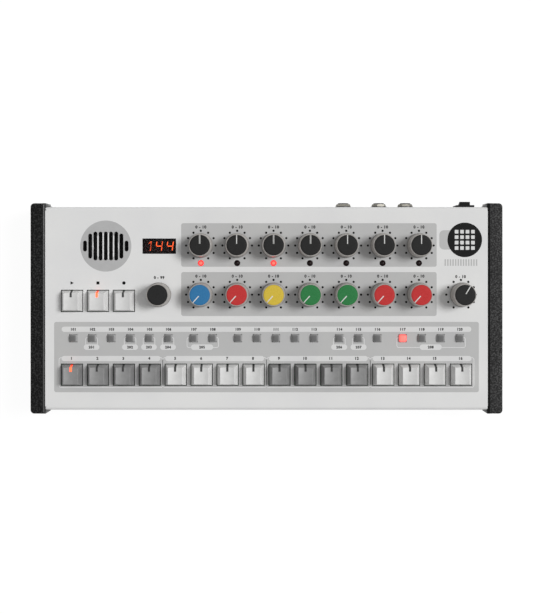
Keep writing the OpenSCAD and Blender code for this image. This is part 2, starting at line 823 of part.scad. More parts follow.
// Frame of the power switch, clipped into the rear wall
module rocker_housing() color(part_black) difference() {
    union() {
        rear_box(rocker_x, rocker_wall_w, rocker_wall_h, wall_in - rocker_depth, wall_out + eps);
        rear_box(rocker_x, rocker_flange_w, rocker_flange_h, wall_out, wall_out + rocker_flange_t);
    }
    rear_box(rocker_x, rocker_w + 2 * rocker_gap, 2 * (rocker_half_h + rocker_end_gap),
             wall_in - rocker_pocket, wall_out + rocker_flange_t + 1);
    translate([rocker_x - rocker_w / 2 - trunnion_reach - trunnion_play, rocker_pivot_y, socket_z])
        rotate([0, 90, 0]) cylinder(r = trunnion_r + trunnion_gap,
                                    h = rocker_w + 2 * (trunnion_reach + trunnion_play));
}

// The rocker at one end of its swing, with a trunnion on each side
module power_rocker() color(cap_black) translate([rocker_x, rocker_pivot_y, socket_z]) {
    rotate([-rocker_swing / 2, 0, 0]) bar_x(-rocker_w / 2, rocker_w / 2)
        polygon([[-rocker_in_y, -rocker_tail], [-rocker_side_y, -rocker_half_h],
                 [rocker_out_y, -rocker_half_h], [rocker_waist_y, 0],
                 [rocker_out_y, rocker_half_h], [-rocker_side_y, rocker_half_h],
                 [-rocker_in_y, rocker_tail]]);
    translate([-rocker_w / 2 - trunnion_reach, 0, 0]) rotate([0, 90, 0])
        cylinder(r = trunnion_r, h = rocker_w + 2 * trunnion_reach);
}

// ---- Keys ----

// Radius of a dish of the given depth across a chord
function dish_radius(chord, depth) = (chord * chord / 4 + depth * depth) / (2 * depth);

// Groove for the light pipe, from the face over the rear edge to the foot, as a cutter
module pipe_groove() {
    rear_foot = cap_w / 2;
    rear_face = face_d / 2 + face_shift;
    floor_z = cap_top - dish - pipe_deep;
    bar_x(-pipe_w / 2, pipe_w / 2)
        polygon([[rear_foot + 1, cap_foot - 1], [rear_foot + 1, cap_top + 1],
                 [rear_face - pipe_on_face, cap_top + 1], [rear_face - pipe_on_face, floor_z],
                 [rear_face - pipe_deep, floor_z], [rear_foot - pipe_deep, slope_foot],
                 [rear_foot - pipe_deep, cap_foot - 1]]);
}

// A dished key cap with its stem, centred on a spot of key_spots
module key_cap(spot, colour) {
    dish_r = dish_radius(face_w - 2 * dish_edge, dish);
    low_half = cap_w / 2 - cap_wall;
    high_half = face_w / 2 - cavity_in;
    color(colour) translate([spot[0], spot[1], 0]) {
        difference() {
            union() {
                translate([0, 0, cap_foot]) linear_extrude(slope_foot - cap_foot)
                    round_rect([-cap_w / 2, -cap_w / 2], [cap_w / 2, cap_w / 2], cap_corner);
                intersection() {
                    taper([cap_w, cap_w], [face_w, face_d], slope_foot, cap_top, face_shift);
                    translate([0, 0, slope_foot]) linear_extrude(key_rise)
                        round_rect([-cap_w / 2, -cap_w / 2], [cap_w / 2, cap_w / 2], cap_corner);
                }
            }
            translate([0, 0, cap_top - dish + dish_r]) rotate([90, 0, 0])
                cylinder(r = dish_r, h = 2 * cap_w, center = true, $fn = 96);
            box([-low_half, -low_half, cap_foot - 1], [low_half, low_half, low_cavity_top]);
            box([-high_half, -high_half, low_cavity_top - eps],
                [high_half, high_half - cavity_step, cap_top - cap_roof]);
            pipe_groove();
        }
        translate([0, 0, stem_foot]) cylinder(r = stem_r, h = cap_top - cap_roof + eps - stem_foot);
    }
}

// Step keys: the first and third fours are dark, the others light
module step_key(i) {
    key_cap(key_spots[i], floor(i / 4) % 2 == 0 ? key_grey : key_light);
}

// Transport keys stand over the first step keys
module transport_key(i) {
    key_cap(key_spots[step_count + i], key_light);
}

// One moulded strip of function keys: a web under the panel, keys above and plungers below
module function_keys(g) color(key_grey) for (i = [0:group_sizes[g] - 1]) {
    x = group_x(g) + i * function_pitch;
    last = i == group_sizes[g] - 1;
    translate([x, function_y, 0]) {
        box([-web_half, -web_half, under - web_t],
            [last ? web_half : function_pitch - web_half + eps, web_half, under]);
        box([-function_w / 2, -function_w / 2, under - eps],
            [function_w / 2, function_w / 2, panel_z + function_straight]);
        taper([function_w, function_w], [function_face, function_face],
              panel_z + function_straight, panel_z + function_rise);
        translate([0, 0, plunger_foot]) cylinder(r = plunger_r, h = under - eps - plunger_foot);
    }
}

// ---- Knobs ----

// A knob with its cap and shaft; its pointer stands clockwise from twelve o'clock.
// The data knob turns without stops and has no pointer.
module knob(spot, colour, pointer_at, marked = true) {
    groove_r = knob_cap_r + inlay_gap;
    rim_r = groove_r + rim_w;
    wall_foot = knob_foot + base_step;
    color(colour) translate([spot[0], spot[1], 0]) difference() {
        rotate_extrude() polygon([
            [0, shaft_foot], [shaft_r, shaft_foot], [shaft_r, boss_foot],
            [boss_r, boss_foot], [boss_r, cavity_top], [skirt_cavity_r, cavity_top],
            [skirt_cavity_r, knob_foot], [knob_r, knob_foot], [knob_r, wall_foot],
            [knob_r - base_in, wall_foot + base_in],
            [rim_r, knob_top - knob_round - inlay_h],
            [rim_r - knob_round, knob_top - inlay_h], [groove_r, knob_top - inlay_h],
            [knob_cap_r, knob_top], [0, knob_top]]);
        if (marked) rotate([0, 0, -pointer_at])
            box([-pointer_w / 2, pointer_from, knob_top - inlay_h],
                [pointer_w / 2, groove_r, knob_top + 1]);
    }
}

module level_knob(i) knob([column_x(i), level_y], cap_black, 0);

module tone_knob(i) knob([column_x(i), tone_y], tone_colours[i], -knob_stop);

module volume_knob() knob([volume_x, tone_y], cap_black, volume_at);

module data_knob() knob([data_x, tone_y], cap_black, 0, false);

// ---- Nodes ----

top_panel();
base_tray();
left_cheek();
right_cheek();
rubber_feet();
screws();
display_window();
display_module();
level_lamps();
loudspeaker();
control_board();
potentiometers();
key_switches();
jack_sockets();
jack_nuts();
midi_sockets();
usb_port();
power_inlet();
rocker_housing();
power_rocker();
data_knob();
volume_knob();
transport_key(0);  // play_key
transport_key(1);  // stop_key
transport_key(2);  // record_key
for (i = [0:step_count - 1])
    step_key(i);
for (i = [0:knob_count - 1])
    level_knob(i);
for (i = [0:knob_count - 1])
    tone_knob(i);
for (g = [0:len(group_sizes) - 1])
    function_keys(g);
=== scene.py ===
"""Looks of a desktop drum machine: a bent white case between coarse black end cheeks.

Sizes in the classes are millimetres, which the bench turns into metres as it builds; only the
places of the camera and of the main lamp are metres.
"""
import json
import logging
import math
from dataclasses import dataclass
from enum import Enum
from typing import Callable, Iterable, Sequence

import bmesh
import bpy
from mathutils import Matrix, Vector

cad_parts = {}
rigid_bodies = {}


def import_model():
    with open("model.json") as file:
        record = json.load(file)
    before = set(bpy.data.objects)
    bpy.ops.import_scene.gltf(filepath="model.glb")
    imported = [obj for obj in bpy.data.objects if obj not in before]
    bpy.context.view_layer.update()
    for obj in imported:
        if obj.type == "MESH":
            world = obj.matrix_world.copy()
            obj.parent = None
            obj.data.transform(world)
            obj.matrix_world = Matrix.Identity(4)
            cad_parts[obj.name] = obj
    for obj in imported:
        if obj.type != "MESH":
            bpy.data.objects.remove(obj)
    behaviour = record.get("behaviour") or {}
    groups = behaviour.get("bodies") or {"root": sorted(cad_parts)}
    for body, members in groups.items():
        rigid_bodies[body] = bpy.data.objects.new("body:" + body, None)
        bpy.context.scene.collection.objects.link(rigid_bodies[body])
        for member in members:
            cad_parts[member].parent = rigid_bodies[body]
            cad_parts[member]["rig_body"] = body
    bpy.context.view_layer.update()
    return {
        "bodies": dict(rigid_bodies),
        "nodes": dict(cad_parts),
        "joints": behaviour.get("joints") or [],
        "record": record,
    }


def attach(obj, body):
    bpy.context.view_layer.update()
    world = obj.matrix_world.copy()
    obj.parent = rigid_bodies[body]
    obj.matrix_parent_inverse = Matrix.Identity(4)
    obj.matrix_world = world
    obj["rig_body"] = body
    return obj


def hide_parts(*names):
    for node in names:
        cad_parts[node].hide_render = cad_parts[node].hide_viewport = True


LOG = logging.getLogger("drum_machine")
MM = 0.001
# How near a vertex lies to the face that it belongs to, in metres.
SNAP = 1e-5
# How much of the type size a figure's height fills, and how much bolder than its outline it is.
FIGURE_SHARE = 0.72
FIGURE_WEIGHT = 0.16

Point = Sequence[float]
Pair = tuple[float, float]
Colour = tuple[float, float, float]
Inputs = dict[str | int, object]
Solid = bpy.types.Object
Material = bpy.types.Material
Socket = bpy.types.NodeSocket


def shade(code: str) -> Colour:
    """Turns a web colour such as "d6d6d6" into linear light.

    Args:
        code: Six hexadecimal digits.

    Returns:
        Red, green and blue between 0 and 1.
    """
    parts = [int(code[i:i + 2], 16) / 255 for i in (0, 2, 4)]
    return tuple(c / 12.92 if c <= 0.04045 else ((c + 0.055) / 1.055) ** 2.4 for c in parts)


class Part(Enum):
    """Kinds of mesh element that an edit acts on."""

    VERT = "verts"
    EDGE = "edges"
    FACE = "faces"


class Bench:
    """The tools that every piece is shaped with."""

    @staticmethod
    def clear() -> None:
        """Leaves edit mode and lets go of everything."""
        if bpy.context.mode != "OBJECT":
            bpy.ops.object.mode_set(mode="OBJECT")
        bpy.ops.object.select_all(action="DESELECT")

    @staticmethod
    def take(piece: Solid) -> None:
        """Makes one piece the active one, with nothing else selected."""
        Bench.clear()
        piece.select_set(True)
        bpy.context.view_layer.objects.active = piece

    @staticmethod
    def discard(*pieces: Solid) -> None:
        """Removes pieces that were only there to be copied or to cut."""
        for piece in pieces:
            bpy.data.objects.remove(piece)

    @staticmethod
    def settle(piece: Solid) -> Solid:
        """Moves a piece's place, turn and scale into its mesh, and gives the piece back."""
        Bench.take(piece)
        bpy.ops.object.transform_apply(location=True, rotation=True, scale=True)
        return piece

    @staticmethod
    def pick(piece: Solid, kind: Part, test: Callable[..., bool] = lambda part: True) -> None:
        """Opens a piece in edit mode with only the wanted elements selected.

        Args:
            piece: The mesh object.
            kind: Vertices, edges or faces.
            test: Says whether an element is wanted.
        """
        Bench.take(piece)
        bpy.ops.object.mode_set(mode="EDIT")
        bpy.ops.mesh.select_mode(type=kind.name)
        bpy.ops.mesh.select_all(action="DESELECT")
        mesh = bmesh.from_edit_mesh(piece.data)
        for part in getattr(mesh, kind.value):
            if test(part):
                part.select_set(True)
        mesh.select_flush_mode()
        bmesh.update_edit_mesh(piece.data)

    @staticmethod
    def draw(reach: Point) -> None:
        """Draws the selected faces out by metres along each axis."""
        bpy.ops.mesh.extrude_region_move(TRANSFORM_OT_translate={"value": reach})

    @staticmethod
    def apply(piece: Solid, kind: str, **values: object) -> Solid:
        """Runs one modifier on a piece.

        Args:
            piece: The mesh object.
            kind: The modifier's type.
            values: The modifier's settings.

        Returns:
            The changed piece.
        """
        step = piece.modifiers.new(kind.lower(), kind)
        for key, value in values.items():
            setattr(step, key, value)
        Bench.take(piece)
        bpy.ops.object.modifier_apply(modifier=step.name)
        return piece

    @staticmethod
    def tidy(piece: Solid) -> Solid:
        """Merges doubled vertices of a closed piece and turns every face outward.

        Args:
            piece: A closed mesh object.

        Returns:
            The same piece, in object mode.
        """
        Bench.take(piece)
        bpy.ops.object.mode_set(mode="EDIT")
        bpy.ops.mesh.select_all(action="SELECT")
        bpy.ops.mesh.remove_doubles(threshold=1e-6)
        bpy.ops.mesh.normals_make_consistent(inside=False)
        Bench.clear()
        return piece

    @staticmethod
    def block(low: Point, high: Point) -> Solid:
        """Adds a block.

        Args:
            low: Lowest corner.
            high: Highest corner.

        Returns:
            The block.
        """
        Bench.clear()
        middle = [(a + b) / 2 * MM for a, b in zip(low, high)]
        bpy.ops.mesh.primitive_cube_add(size=1, location=middle)
        piece = bpy.context.object
        piece.scale = [(b - a) * MM for a, b in zip(low, high)]
        return Bench.settle(piece)

    @staticmethod
    def tapered(wide: float, heights: Point, face: Point, shift: float = 0) -> Solid:
        """Shapes a square block whose upper part narrows.

        Args:
            wide: Width of the block.
            heights: Heights of its underside, of the start of the slope and of its face.
            face: Width and depth of its face.
            shift: How far the face stands back.

        Returns:
            The block, centred on the origin.
        """
        (foot, slope, top), half = heights, wide / 2
        piece = Bench.block((-half, -half, foot), (half, half, slope))
        Bench.pick(piece, Part.FACE, lambda part: part.normal.z > 0.9)
        Bench.draw((0, 0, (top - slope) * MM))
        bpy.ops.transform.resize(value=(face[0] / wide, face[1] / wide, 1))
        bpy.ops.transform.translate(value=(0, shift * MM, 0))
        Bench.clear()
        return piece

    @staticmethod
    def rod(radius: float, low: Point, length: float, axis: str = "Z", sides: int = 32) -> Solid:
        """Adds a round rod.

        Args:
            radius: Its radius.
            low: Middle of the end with the lower coordinate.
            length: How far it reaches along the axis.
            axis: X, Y or Z.
            sides: How many facets stand round it.

        Returns:
            The rod.
        """
        Bench.clear()
        turn = {"X": (0, math.pi / 2, 0), "Y": (math.pi / 2, 0, 0), "Z": (0, 0, 0)}[axis]
        middle = Vector(low) * MM
        middle["XYZ".index(axis)] += length / 2 * MM
        bpy.ops.mesh.primitive_cylinder_add(vertices=sides, radius=radius * MM, depth=length * MM,
                                            location=middle, rotation=turn)
        return Bench.settle(bpy.context.object)

    @staticmethod
    def wire(points: Sequence[Point], closed: bool = False) -> Solid:
        """Draws a wire a vertex at a time.

        Args:
            points: Where its corners are.
            closed: Whether the wire is filled with a face.

        Returns:
            The wire.
        """
        spots = [Vector(p) * MM for p in points]
        Bench.clear()
        bpy.ops.mesh.primitive_plane_add(size=MM, location=spots[0])
        piece = bpy.context.object
        bpy.ops.object.mode_set(mode="EDIT")
        bpy.ops.mesh.select_mode(type="VERT")
        bpy.ops.mesh.select_all(action="SELECT")
        bpy.ops.mesh.merge(type="CENTER")
        for last, spot in zip(spots, spots[1:]):
            bpy.ops.mesh.extrude_vertices_move(TRANSFORM_OT_translate={"value": spot - last})
        if closed:
            bpy.ops.mesh.select_all(action="SELECT")
            bpy.ops.mesh.edge_face_add()
        return Bench.settle(piece)

    @staticmethod
    def bar(points: Sequence[Point], reach: Point) -> Solid:
        """Fills a closed outline and draws it out.

        Args:
            points: Corners of the outline.
            reach: How far and which way it is drawn out.

        Returns:
            The solid.
        """
        piece = Bench.wire(points, closed=True)
        Bench.pick(piece, Part.FACE)
        Bench.draw(Vector(reach) * MM)
        return Bench.tidy(piece)

    @staticmethod
    def turned(profile: Sequence[Pair], steps: int = 96) -> Solid:
        """Spins a profile round the upright axis.

        Args:
            profile: Radius and height of each corner, from one pole to the other.
            steps: How many facets stand round the axis.

        Returns:
            The closed solid.
        """
        piece = Bench.wire([(r, 0, z) for r, z in profile])
        Bench.pick(piece, Part.VERT)
        bpy.ops.mesh.spin(steps=steps, angle=2 * math.pi, center=(0, 0, 0), axis=(0, 0, 1))
        return Bench.tidy(piece)

    @staticmethod
    def film(low: Point, high: Point, foot: float, top: float, corner: float = 0) -> Solid:
        """Lays a thin film with round corners.

        Args:
            low: Lowest corner in X and Y.
            high: Highest corner in X and Y.
            foot: Height of its underside.
            top: Height of its upper side.
            corner: Radius of its corners.

        Returns:
            The film.
        """
        Bench.clear()
        middle = [(low[0] + high[0]) / 2 * MM, (low[1] + high[1]) / 2 * MM, foot * MM]
        bpy.ops.mesh.primitive_plane_add(size=1, location=middle)
        piece = bpy.context.object
        piece.scale = ((high[0] - low[0]) * MM, (high[1] - low[1]) * MM, 1)
        Bench.settle(piece)
        if corner:
            Bench.pick(piece, Part.VERT)
            bpy.ops.mesh.bevel(offset=corner * MM, segments=6, affect="VERTICES", clamp_overlap=True)
        Bench.pick(piece, Part.FACE)
        Bench.draw((0, 0, (top - foot) * MM))
        return Bench.tidy(piece)

    @staticmethod
    def cut(piece: Solid, cutter: Solid, keep: bool = False) -> Solid:
        """Takes the shape of a cutter out of a piece.

        Args:
            piece: The mesh that is cut.
            cutter: The mesh that cuts.
            keep: Whether the cutter is used again.

        Returns:
            The cut piece.
        """
        Bench.apply(piece, "BOOLEAN", operation="DIFFERENCE", solver="EXACT", object=cutter)
        if not keep:
            Bench.discard(cutter)
        return piece

    @staticmethod
    def soften(piece: Solid, width: float, segments: int = 2, angle: float = 40) -> Solid:
        """Rounds the sharp edges of a piece.

        Args:
            piece: The mesh object.
            width: Width of the rounding.
            segments: Facets across it.
            angle: Edges that turn by more degrees than this are rounded.

        Returns:
            The rounded piece.
        """
        return Bench.apply(piece, "BEVEL", width=width * MM, segments=segments, harden_normals=False,
                           limit_method="ANGLE", angle_limit=math.radians(angle))

    @staticmethod
    def polish(piece: Solid, angle: float = 35) -> Solid:
        """Shades a piece smooth, except over edges sharper than an angle in degrees."""
        Bench.take(piece)
        bpy.ops.object.shade_smooth_by_angle(angle=math.radians(angle))
        return piece

    @staticmethod
    def twin(piece: Solid, shift: Point = (0, 0, 0), turn: Point = (0, 0, 0)) -> Solid:
        """Copies a piece with a mesh of its own.

        Args:
            piece: The mesh object.
            shift: How far the copy moves.
            turn: Degrees the copy turns round each axis first.

        Returns:
            The settled copy.
        """
        other = piece.copy()
        other.data = piece.data.copy()
        bpy.context.scene.collection.objects.link(other)
        other.rotation_euler = [math.radians(angle) for angle in turn]
        other.location = Vector(shift) * MM
        return Bench.settle(other)

    @staticmethod
    def join(pieces: Iterable[Solid]) -> Solid:
        """Joins pieces into the first of them.

        Args:
            pieces: Mesh objects.

        Returns:
            The joined piece.
        """
        pieces = list(pieces)
        Bench.take(pieces[0])
        for piece in pieces[1:]:
            piece.select_set(True)
        if len(pieces) > 1:
            bpy.ops.object.join()
        return pieces[0]

    @staticmethod
    def word(text: str, height: float, middle: Point, foot: float, top: float) -> Solid:
        """Sets plain figures as a thin film.

        Args:
            text: What is set.
            height: Height of a figure.
            middle: Middle of the line in X and Y.
            foot: Height of the film's underside.
            top: Height of its upper side.

        Returns:
            The figures as a mesh.
        """
        Bench.clear()
        bpy.ops.object.text_add(location=(middle[0] * MM, middle[1] * MM, (foot + top) / 2 * MM))
        curve = bpy.context.object.data
        curve.body = text
        curve.size = height / FIGURE_SHARE * MM
        curve.align_x = curve.align_y = "CENTER"
        curve.resolution_u = 3
        curve.space_character = 1.15
        curve.offset = FIGURE_WEIGHT * MM
        curve.extrude = (top - foot) / 2 * MM
        bpy.ops.object.convert(target="MESH")
        return Bench.settle(bpy.context.object)


class Nodes:
    """A node tree, with short ways to fill it."""

    def __init__(self, tree: bpy.types.NodeTree) -> None:
        """Empties the tree."""
        self.tree = tree
        tree.nodes.clear()

    def add(self, kind: str, inputs: Inputs | None = None, **values: object) -> bpy.types.Node:
        """Adds a node.

        Args:
            kind: The node's type, without the word that all types start with.
            inputs: A value or another node's output for each socket, by name or index.
            values: Attributes of the node.

        Returns:
            The node.
        """
        node = self.tree.nodes.new("ShaderNode" + kind)
        for key, value in values.items():
            setattr(node, key, value)
        for key, value in (inputs or {}).items():
            socket = node.inputs[key]
            if isinstance(value, Socket):
                self.tree.links.new(value, socket)
            else:
                socket.default_value = (*value, 1) if socket.type == "RGBA" else value
        return node

    def math(self, operation: str, *sources: Socket) -> Socket:
        """Joins values by a sum such as MAXIMUM, and gives the result."""
        return self.add("Math", dict(enumerate(sources)), operation=operation).outputs["Value"]

    def seen(self) -> Socket:
        """Gives a value that is 1 for camera, glossy and transmitted rays."""
        path = self.add("LightPath").outputs
        first = self.math("MAXIMUM", path["Is Camera Ray"], path["Is Glossy Ray"])
        return self.math("MAXIMUM", first, path["Is Transmission Ray"])


class Graph(Nodes):
    """Node tree of one material; patterns sit in the piece's own space."""

    def __init__(self, name: str) -> None:
        """Starts a material of this name."""
        self.material = bpy.data.materials.new(name)
        self.material.use_nodes = True
        super().__init__(self.material.node_tree)
        self.place = self.add("TexCoord").outputs["Object"]

    def noise(self, size: float, detail: float = 2, stretch: Point = (1, 1, 1)) -> Socket:
        """Adds solid noise.

        Args:
            size: Width of a blotch.
            detail: Octaves of finer noise.
            stretch: How much the noise is squeezed along each axis.

        Returns:
            The noise's value.
        """
        spot = self.add("Mapping", {"Vector": self.place, "Scale": stretch}).outputs["Vector"]
        return self.add("TexNoise", {"Vector": spot, "Scale": 1 / (size * MM),
                                     "Detail": detail}).outputs["Fac"]

    def ramp(self, source: Socket, *stops: tuple[float, Colour]) -> Socket:
        """Turns a value into a colour.

        Args:
            source: The value.
            stops: Places from 0 to 1, each with its colour.

        Returns:
            The colour.
        """
        node = self.add("ValToRGB", {"Fac": source})
        band = node.color_ramp.elements
        while len(band) < len(stops):
            band.new(0.5)
        for element, (place, colour) in zip(band, stops):
            element.position = place
            element.color = (*colour, 1)
        return node.outputs["Color"]

    def span(self, source: Socket, low: float, high: float, start: float, end: float) -> Socket:
        """Maps a value from one range to another.

        Args:
            source: The value.
            low: Where the first range starts.
            high: Where the first range ends.
            start: What low becomes.
            end: What high becomes.

        Returns:
            The mapped value.
        """
        return self.add("MapRange", {"Value": source, "From Min": low, "From Max": high,
                                     "To Min": start, "To Max": end}).outputs["Result"]

    def level(self, noise: Socket, start: float, end: float) -> Socket:
        """Spreads the usual range of noise from start to end."""
        return self.span(noise, 0.3, 0.7, start, end)

    def rise(self, source: Socket, low: float, high: float) -> Socket:
        """Gives a value that climbs from 0 to 1 between two coordinates in millimetres."""
        return self.span(source, low * MM, high * MM, 0, 1)

    def along(self, axis: str) -> Socket:
        """Gives the coordinate along X, Y or Z, in metres."""
        return self.add("SeparateXYZ", {"Vector": self.place}).outputs[axis]

    def bump(self, source: Socket, depth: float) -> Socket:
        """Gives the normal of a surface that a value raises by depth millimetres at most."""
        return self.add("Bump", {"Height": source, "Distance": depth * MM,
                                 "Strength": 1}).outputs["Normal"]


@dataclass(frozen=True)
class Finish:
    """A material that says what goes into its shader."""

    name: str

    def inputs(self, graph: Graph) -> Inputs:
        """Gives what the shader's sockets get."""
        raise NotImplementedError

    def make(self) -> Material:
        """Builds the material."""
        graph = Graph(self.name)
        shader = graph.add("BsdfPrincipled", self.inputs(graph)).outputs["BSDF"]
        graph.add("OutputMaterial", {"Surface": shader})
        return graph.material

    @staticmethod
    def lit(tint: Socket, strength: float) -> Inputs:
        """Gives a colour to the shader, and makes it glow where it has a strength."""
        glow = {"Emission Color": tint, "Emission Strength": strength} if strength else {}
        return {"Base Color": tint, **glow}


@dataclass(frozen=True)
class Grained(Finish):
    """A painted or moulded finish: two close colours in a soft mottle under a fine grain."""

    dark: Colour
    light: Colour
    mottle: float
    grain: float
    depth: float
    roughness: float
    specular: float
    swing: float = 0.08

    def inputs(self, graph: Graph) -> Inputs:
        """Gives what the shader's sockets get."""
        fine, rough, swing = graph.noise(self.grain), self.roughness, self.swing
        mottle = graph.noise(self.mottle, 3)
        return {"Base Color": graph.ramp(mottle, (0.35, self.dark), (0.65, self.light)),
                "Roughness": graph.level(fine, rough - swing, rough + swing),
                "Specular IOR Level": self.specular, "Normal": graph.bump(fine, self.depth)}


@dataclass(frozen=True)
class KnobPlastic(Finish):
    """Grey moulded plastic, with painted shade that darkens it towards the foot of a knob."""

    name: str = "knob_body"
    # foot and flare are painted shade on the knob's foot and flange.
    foot: Colour = shade("5a5754")
    flare: Colour = shade("787572")
    dark: Colour = shade("a8a4a0")
    light: Colour = shade("b2aeaa")
    foot_z: float = 51
    wall_z: float = 53.2

    def inputs(self, graph: Graph) -> Inputs:
        """Gives what the shader's sockets get."""
        # Painted shade: the colour darkens from wall_z down to foot_z.
        height = graph.rise(graph.along("Z"), self.foot_z, self.wall_z)
        tone = graph.math("MULTIPLY", height, graph.span(graph.noise(3, 3), 0.35, 0.65, 0.85, 1))
        fine = graph.noise(0.4)
        return {"Base Color": graph.ramp(tone, (0, self.foot), (0.6, self.flare), (0.85, self.dark),
                                         (1, self.light)),
                "Roughness": graph.level(fine, 0.42, 0.58), "Specular IOR Level": 0.4,
                "Normal": graph.bump(fine, 0.03)}


@dataclass(frozen=True)
class CasePaint(Finish):
    """White powder coat on the outside of the bent case and matt black on its inside, which also
    stands in for the shade in the panel's gaps and openings.
    """

    name: str = "panel_powder_coat"
    # inside is partly painted shade: it darkens the gaps round keys and the openings as shade would.
    inside: Colour = shade("080808")
    dark: Colour = shade("dfdfdf")
    light: Colour = shade("e3e3e2")
    roof: float = 49.75
    wall: float = 84
    end: float = 191

    def inputs(self, graph: Graph) -> Inputs:
        """Gives what the sockets get; the inside lies under the roof, clear of walls and ends."""
        outer = graph.rise(graph.along("Z"), self.roof - 0.1, self.roof)
        for axis, limit in (("Y", self.wall), ("X", self.end)):
            reach = graph.math("ABSOLUTE", graph.along(axis))
            outer = graph.math("MAXIMUM", outer, graph.rise(reach, limit, limit + 0.5))
        mottle = graph.span(graph.noise(40, 3), 0.35, 0.65, 0.8, 1)
        fine = graph.noise(0.35)
        return {"Base Color": graph.ramp(graph.math("MULTIPLY", outer, mottle), (0, self.inside),
                                         (0.4, self.inside), (0.8, self.dark), (1, self.light)),
                "Roughness": graph.level(fine, 0.47, 0.63), "Specular IOR Level": 0.3,
                "Normal": graph.bump(fine, 0.012)}


@dataclass(frozen=True)
class CheekCoat(Finish):
    """Coarse black structure paint: specks of grey between black pits; the grey specks are partly the
    paint's own fleck and partly painted highlight.
    """

    pit: Colour
    field: Colour
    # crest: the lighter specks, partly painted highlight.
    crest: Colour
    specular: float

    def inputs(self, graph: Graph) -> Inputs:
        """Gives what the shader's sockets get."""
        coarse = graph.noise(1.3, 3)
        return {"Base Color": graph.ramp(coarse, (0.4, self.pit), (0.5, self.field),
                                         (0.62, self.crest)),
                "Roughness": graph.span(coarse, 0.35, 0.65, 0.75, 0.5),
                "Specular IOR Level": self.specular,
                "Normal": graph.bump(graph.noise(0.8, 3), 0.15)}


@dataclass(frozen=True)
class Plated(Finish):
    """Plated metal with fine lines left by the tool; in front of black_y it is black."""

    dark: Colour
    light: Colour
    roughness: float = 0.25
    stretch: Point = (1, 1, 8)
    black_y: float = -1000
    black: Colour = shade("101010")

    def inputs(self, graph: Graph) -> Inputs:
        """Gives what the shader's sockets get."""
        lines = graph.noise(1.2, 3, self.stretch)
        bright = graph.rise(graph.along("Y"), self.black_y, self.black_y + 0.05)
        tone = graph.math("MULTIPLY", bright, graph.level(lines, 0.6, 1))
        return {"Base Color": graph.ramp(tone, (0, self.black), (0.3, self.black), (0.6, self.dark),
                                         (1, self.light)),
                "Roughness": graph.level(lines, self.roughness - 0.08, self.roughness + 0.1),
                "Metallic": 1, "Normal": graph.bump(lines, 0.01)}


@dataclass(frozen=True)
class Lens(Finish):
    """Clear tinted resin; the share of the radius is kept in the mesh's "radius" attribute."""

    middle: Colour
    rim: Colour
    glow: float = 0

    def inputs(self, graph: Graph) -> Inputs:
        """Gives what the shader's sockets get."""
        share = graph.add("Attribute", attribute_name="radius").outputs["Fac"]
        tint = graph.ramp(share, (0.25, self.middle), (0.95, self.rim))
        return {**self.lit(tint, self.glow), "Roughness": 0.3, "Specular IOR Level": 0.15,
                "Normal": graph.bump(graph.noise(1.5, 1), 0.005)}


@dataclass(frozen=True)
class Pane(Finish):
    """Smoked acrylic that lets half of the digits' light through."""

    name: str = "smoked_pane"
    dark: Colour = shade("181414")
    light: Colour = shade("1c1818")
    cover: float = 0.5

    def inputs(self, graph: Graph) -> Inputs:
        """Gives what the shader's sockets get."""
        return {"Base Color": graph.ramp(graph.noise(8), (0.3, self.dark), (0.7, self.light)),
                "Roughness": graph.level(graph.noise(4), 0.05, 0.1),
                "Specular IOR Level": 0.16, "Alpha": self.cover}


@dataclass(frozen=True)
class Glow(Finish):
    """A light guide whose colour runs with height; strength 0 leaves it dark."""

    foot: Colour
    top: Colour
    foot_z: float
    top_z: float
    strength: float = 0
    roughness: float = 0.3

    def inputs(self, graph: Graph) -> Inputs:
        """Gives what the shader's sockets get."""
        height = graph.rise(graph.along("Z"), self.foot_z, self.top_z)
        tint = graph.ramp(height, (0, self.foot), (1, self.top))
        return {**self.lit(tint, self.strength), "Roughness": self.roughness,
                "Specular IOR Level": 0.2, "Normal": graph.bump(graph.noise(0.8), 0.01)}


@dataclass(frozen=True)
class Board(Finish):
    """Green solder mask over a web of copper tracks."""

    name: str = "board_mask"
    dark: Colour = shade("104824")
    light: Colour = shade("14532c")
    track: Colour = shade("2c7a48")

    def inputs(self, graph: Graph) -> Inputs:
        """Gives what the shader's sockets get."""
        web = graph.add("TexBrick", {"Vector": graph.place, "Scale": 60, "Mortar Size": 0.03,
                                     "Color1": self.light, "Color2": self.dark,
                                     "Mortar": self.track}).outputs
        return {"Base Color": web["Color"], "Roughness": graph.level(graph.noise(3), 0.3, 0.45),
                "Normal": graph.bump(web["Fac"], 0.03)}


CAP_GRAIN = (0.8, 0.5, 0.02, 0.62, 0.18)
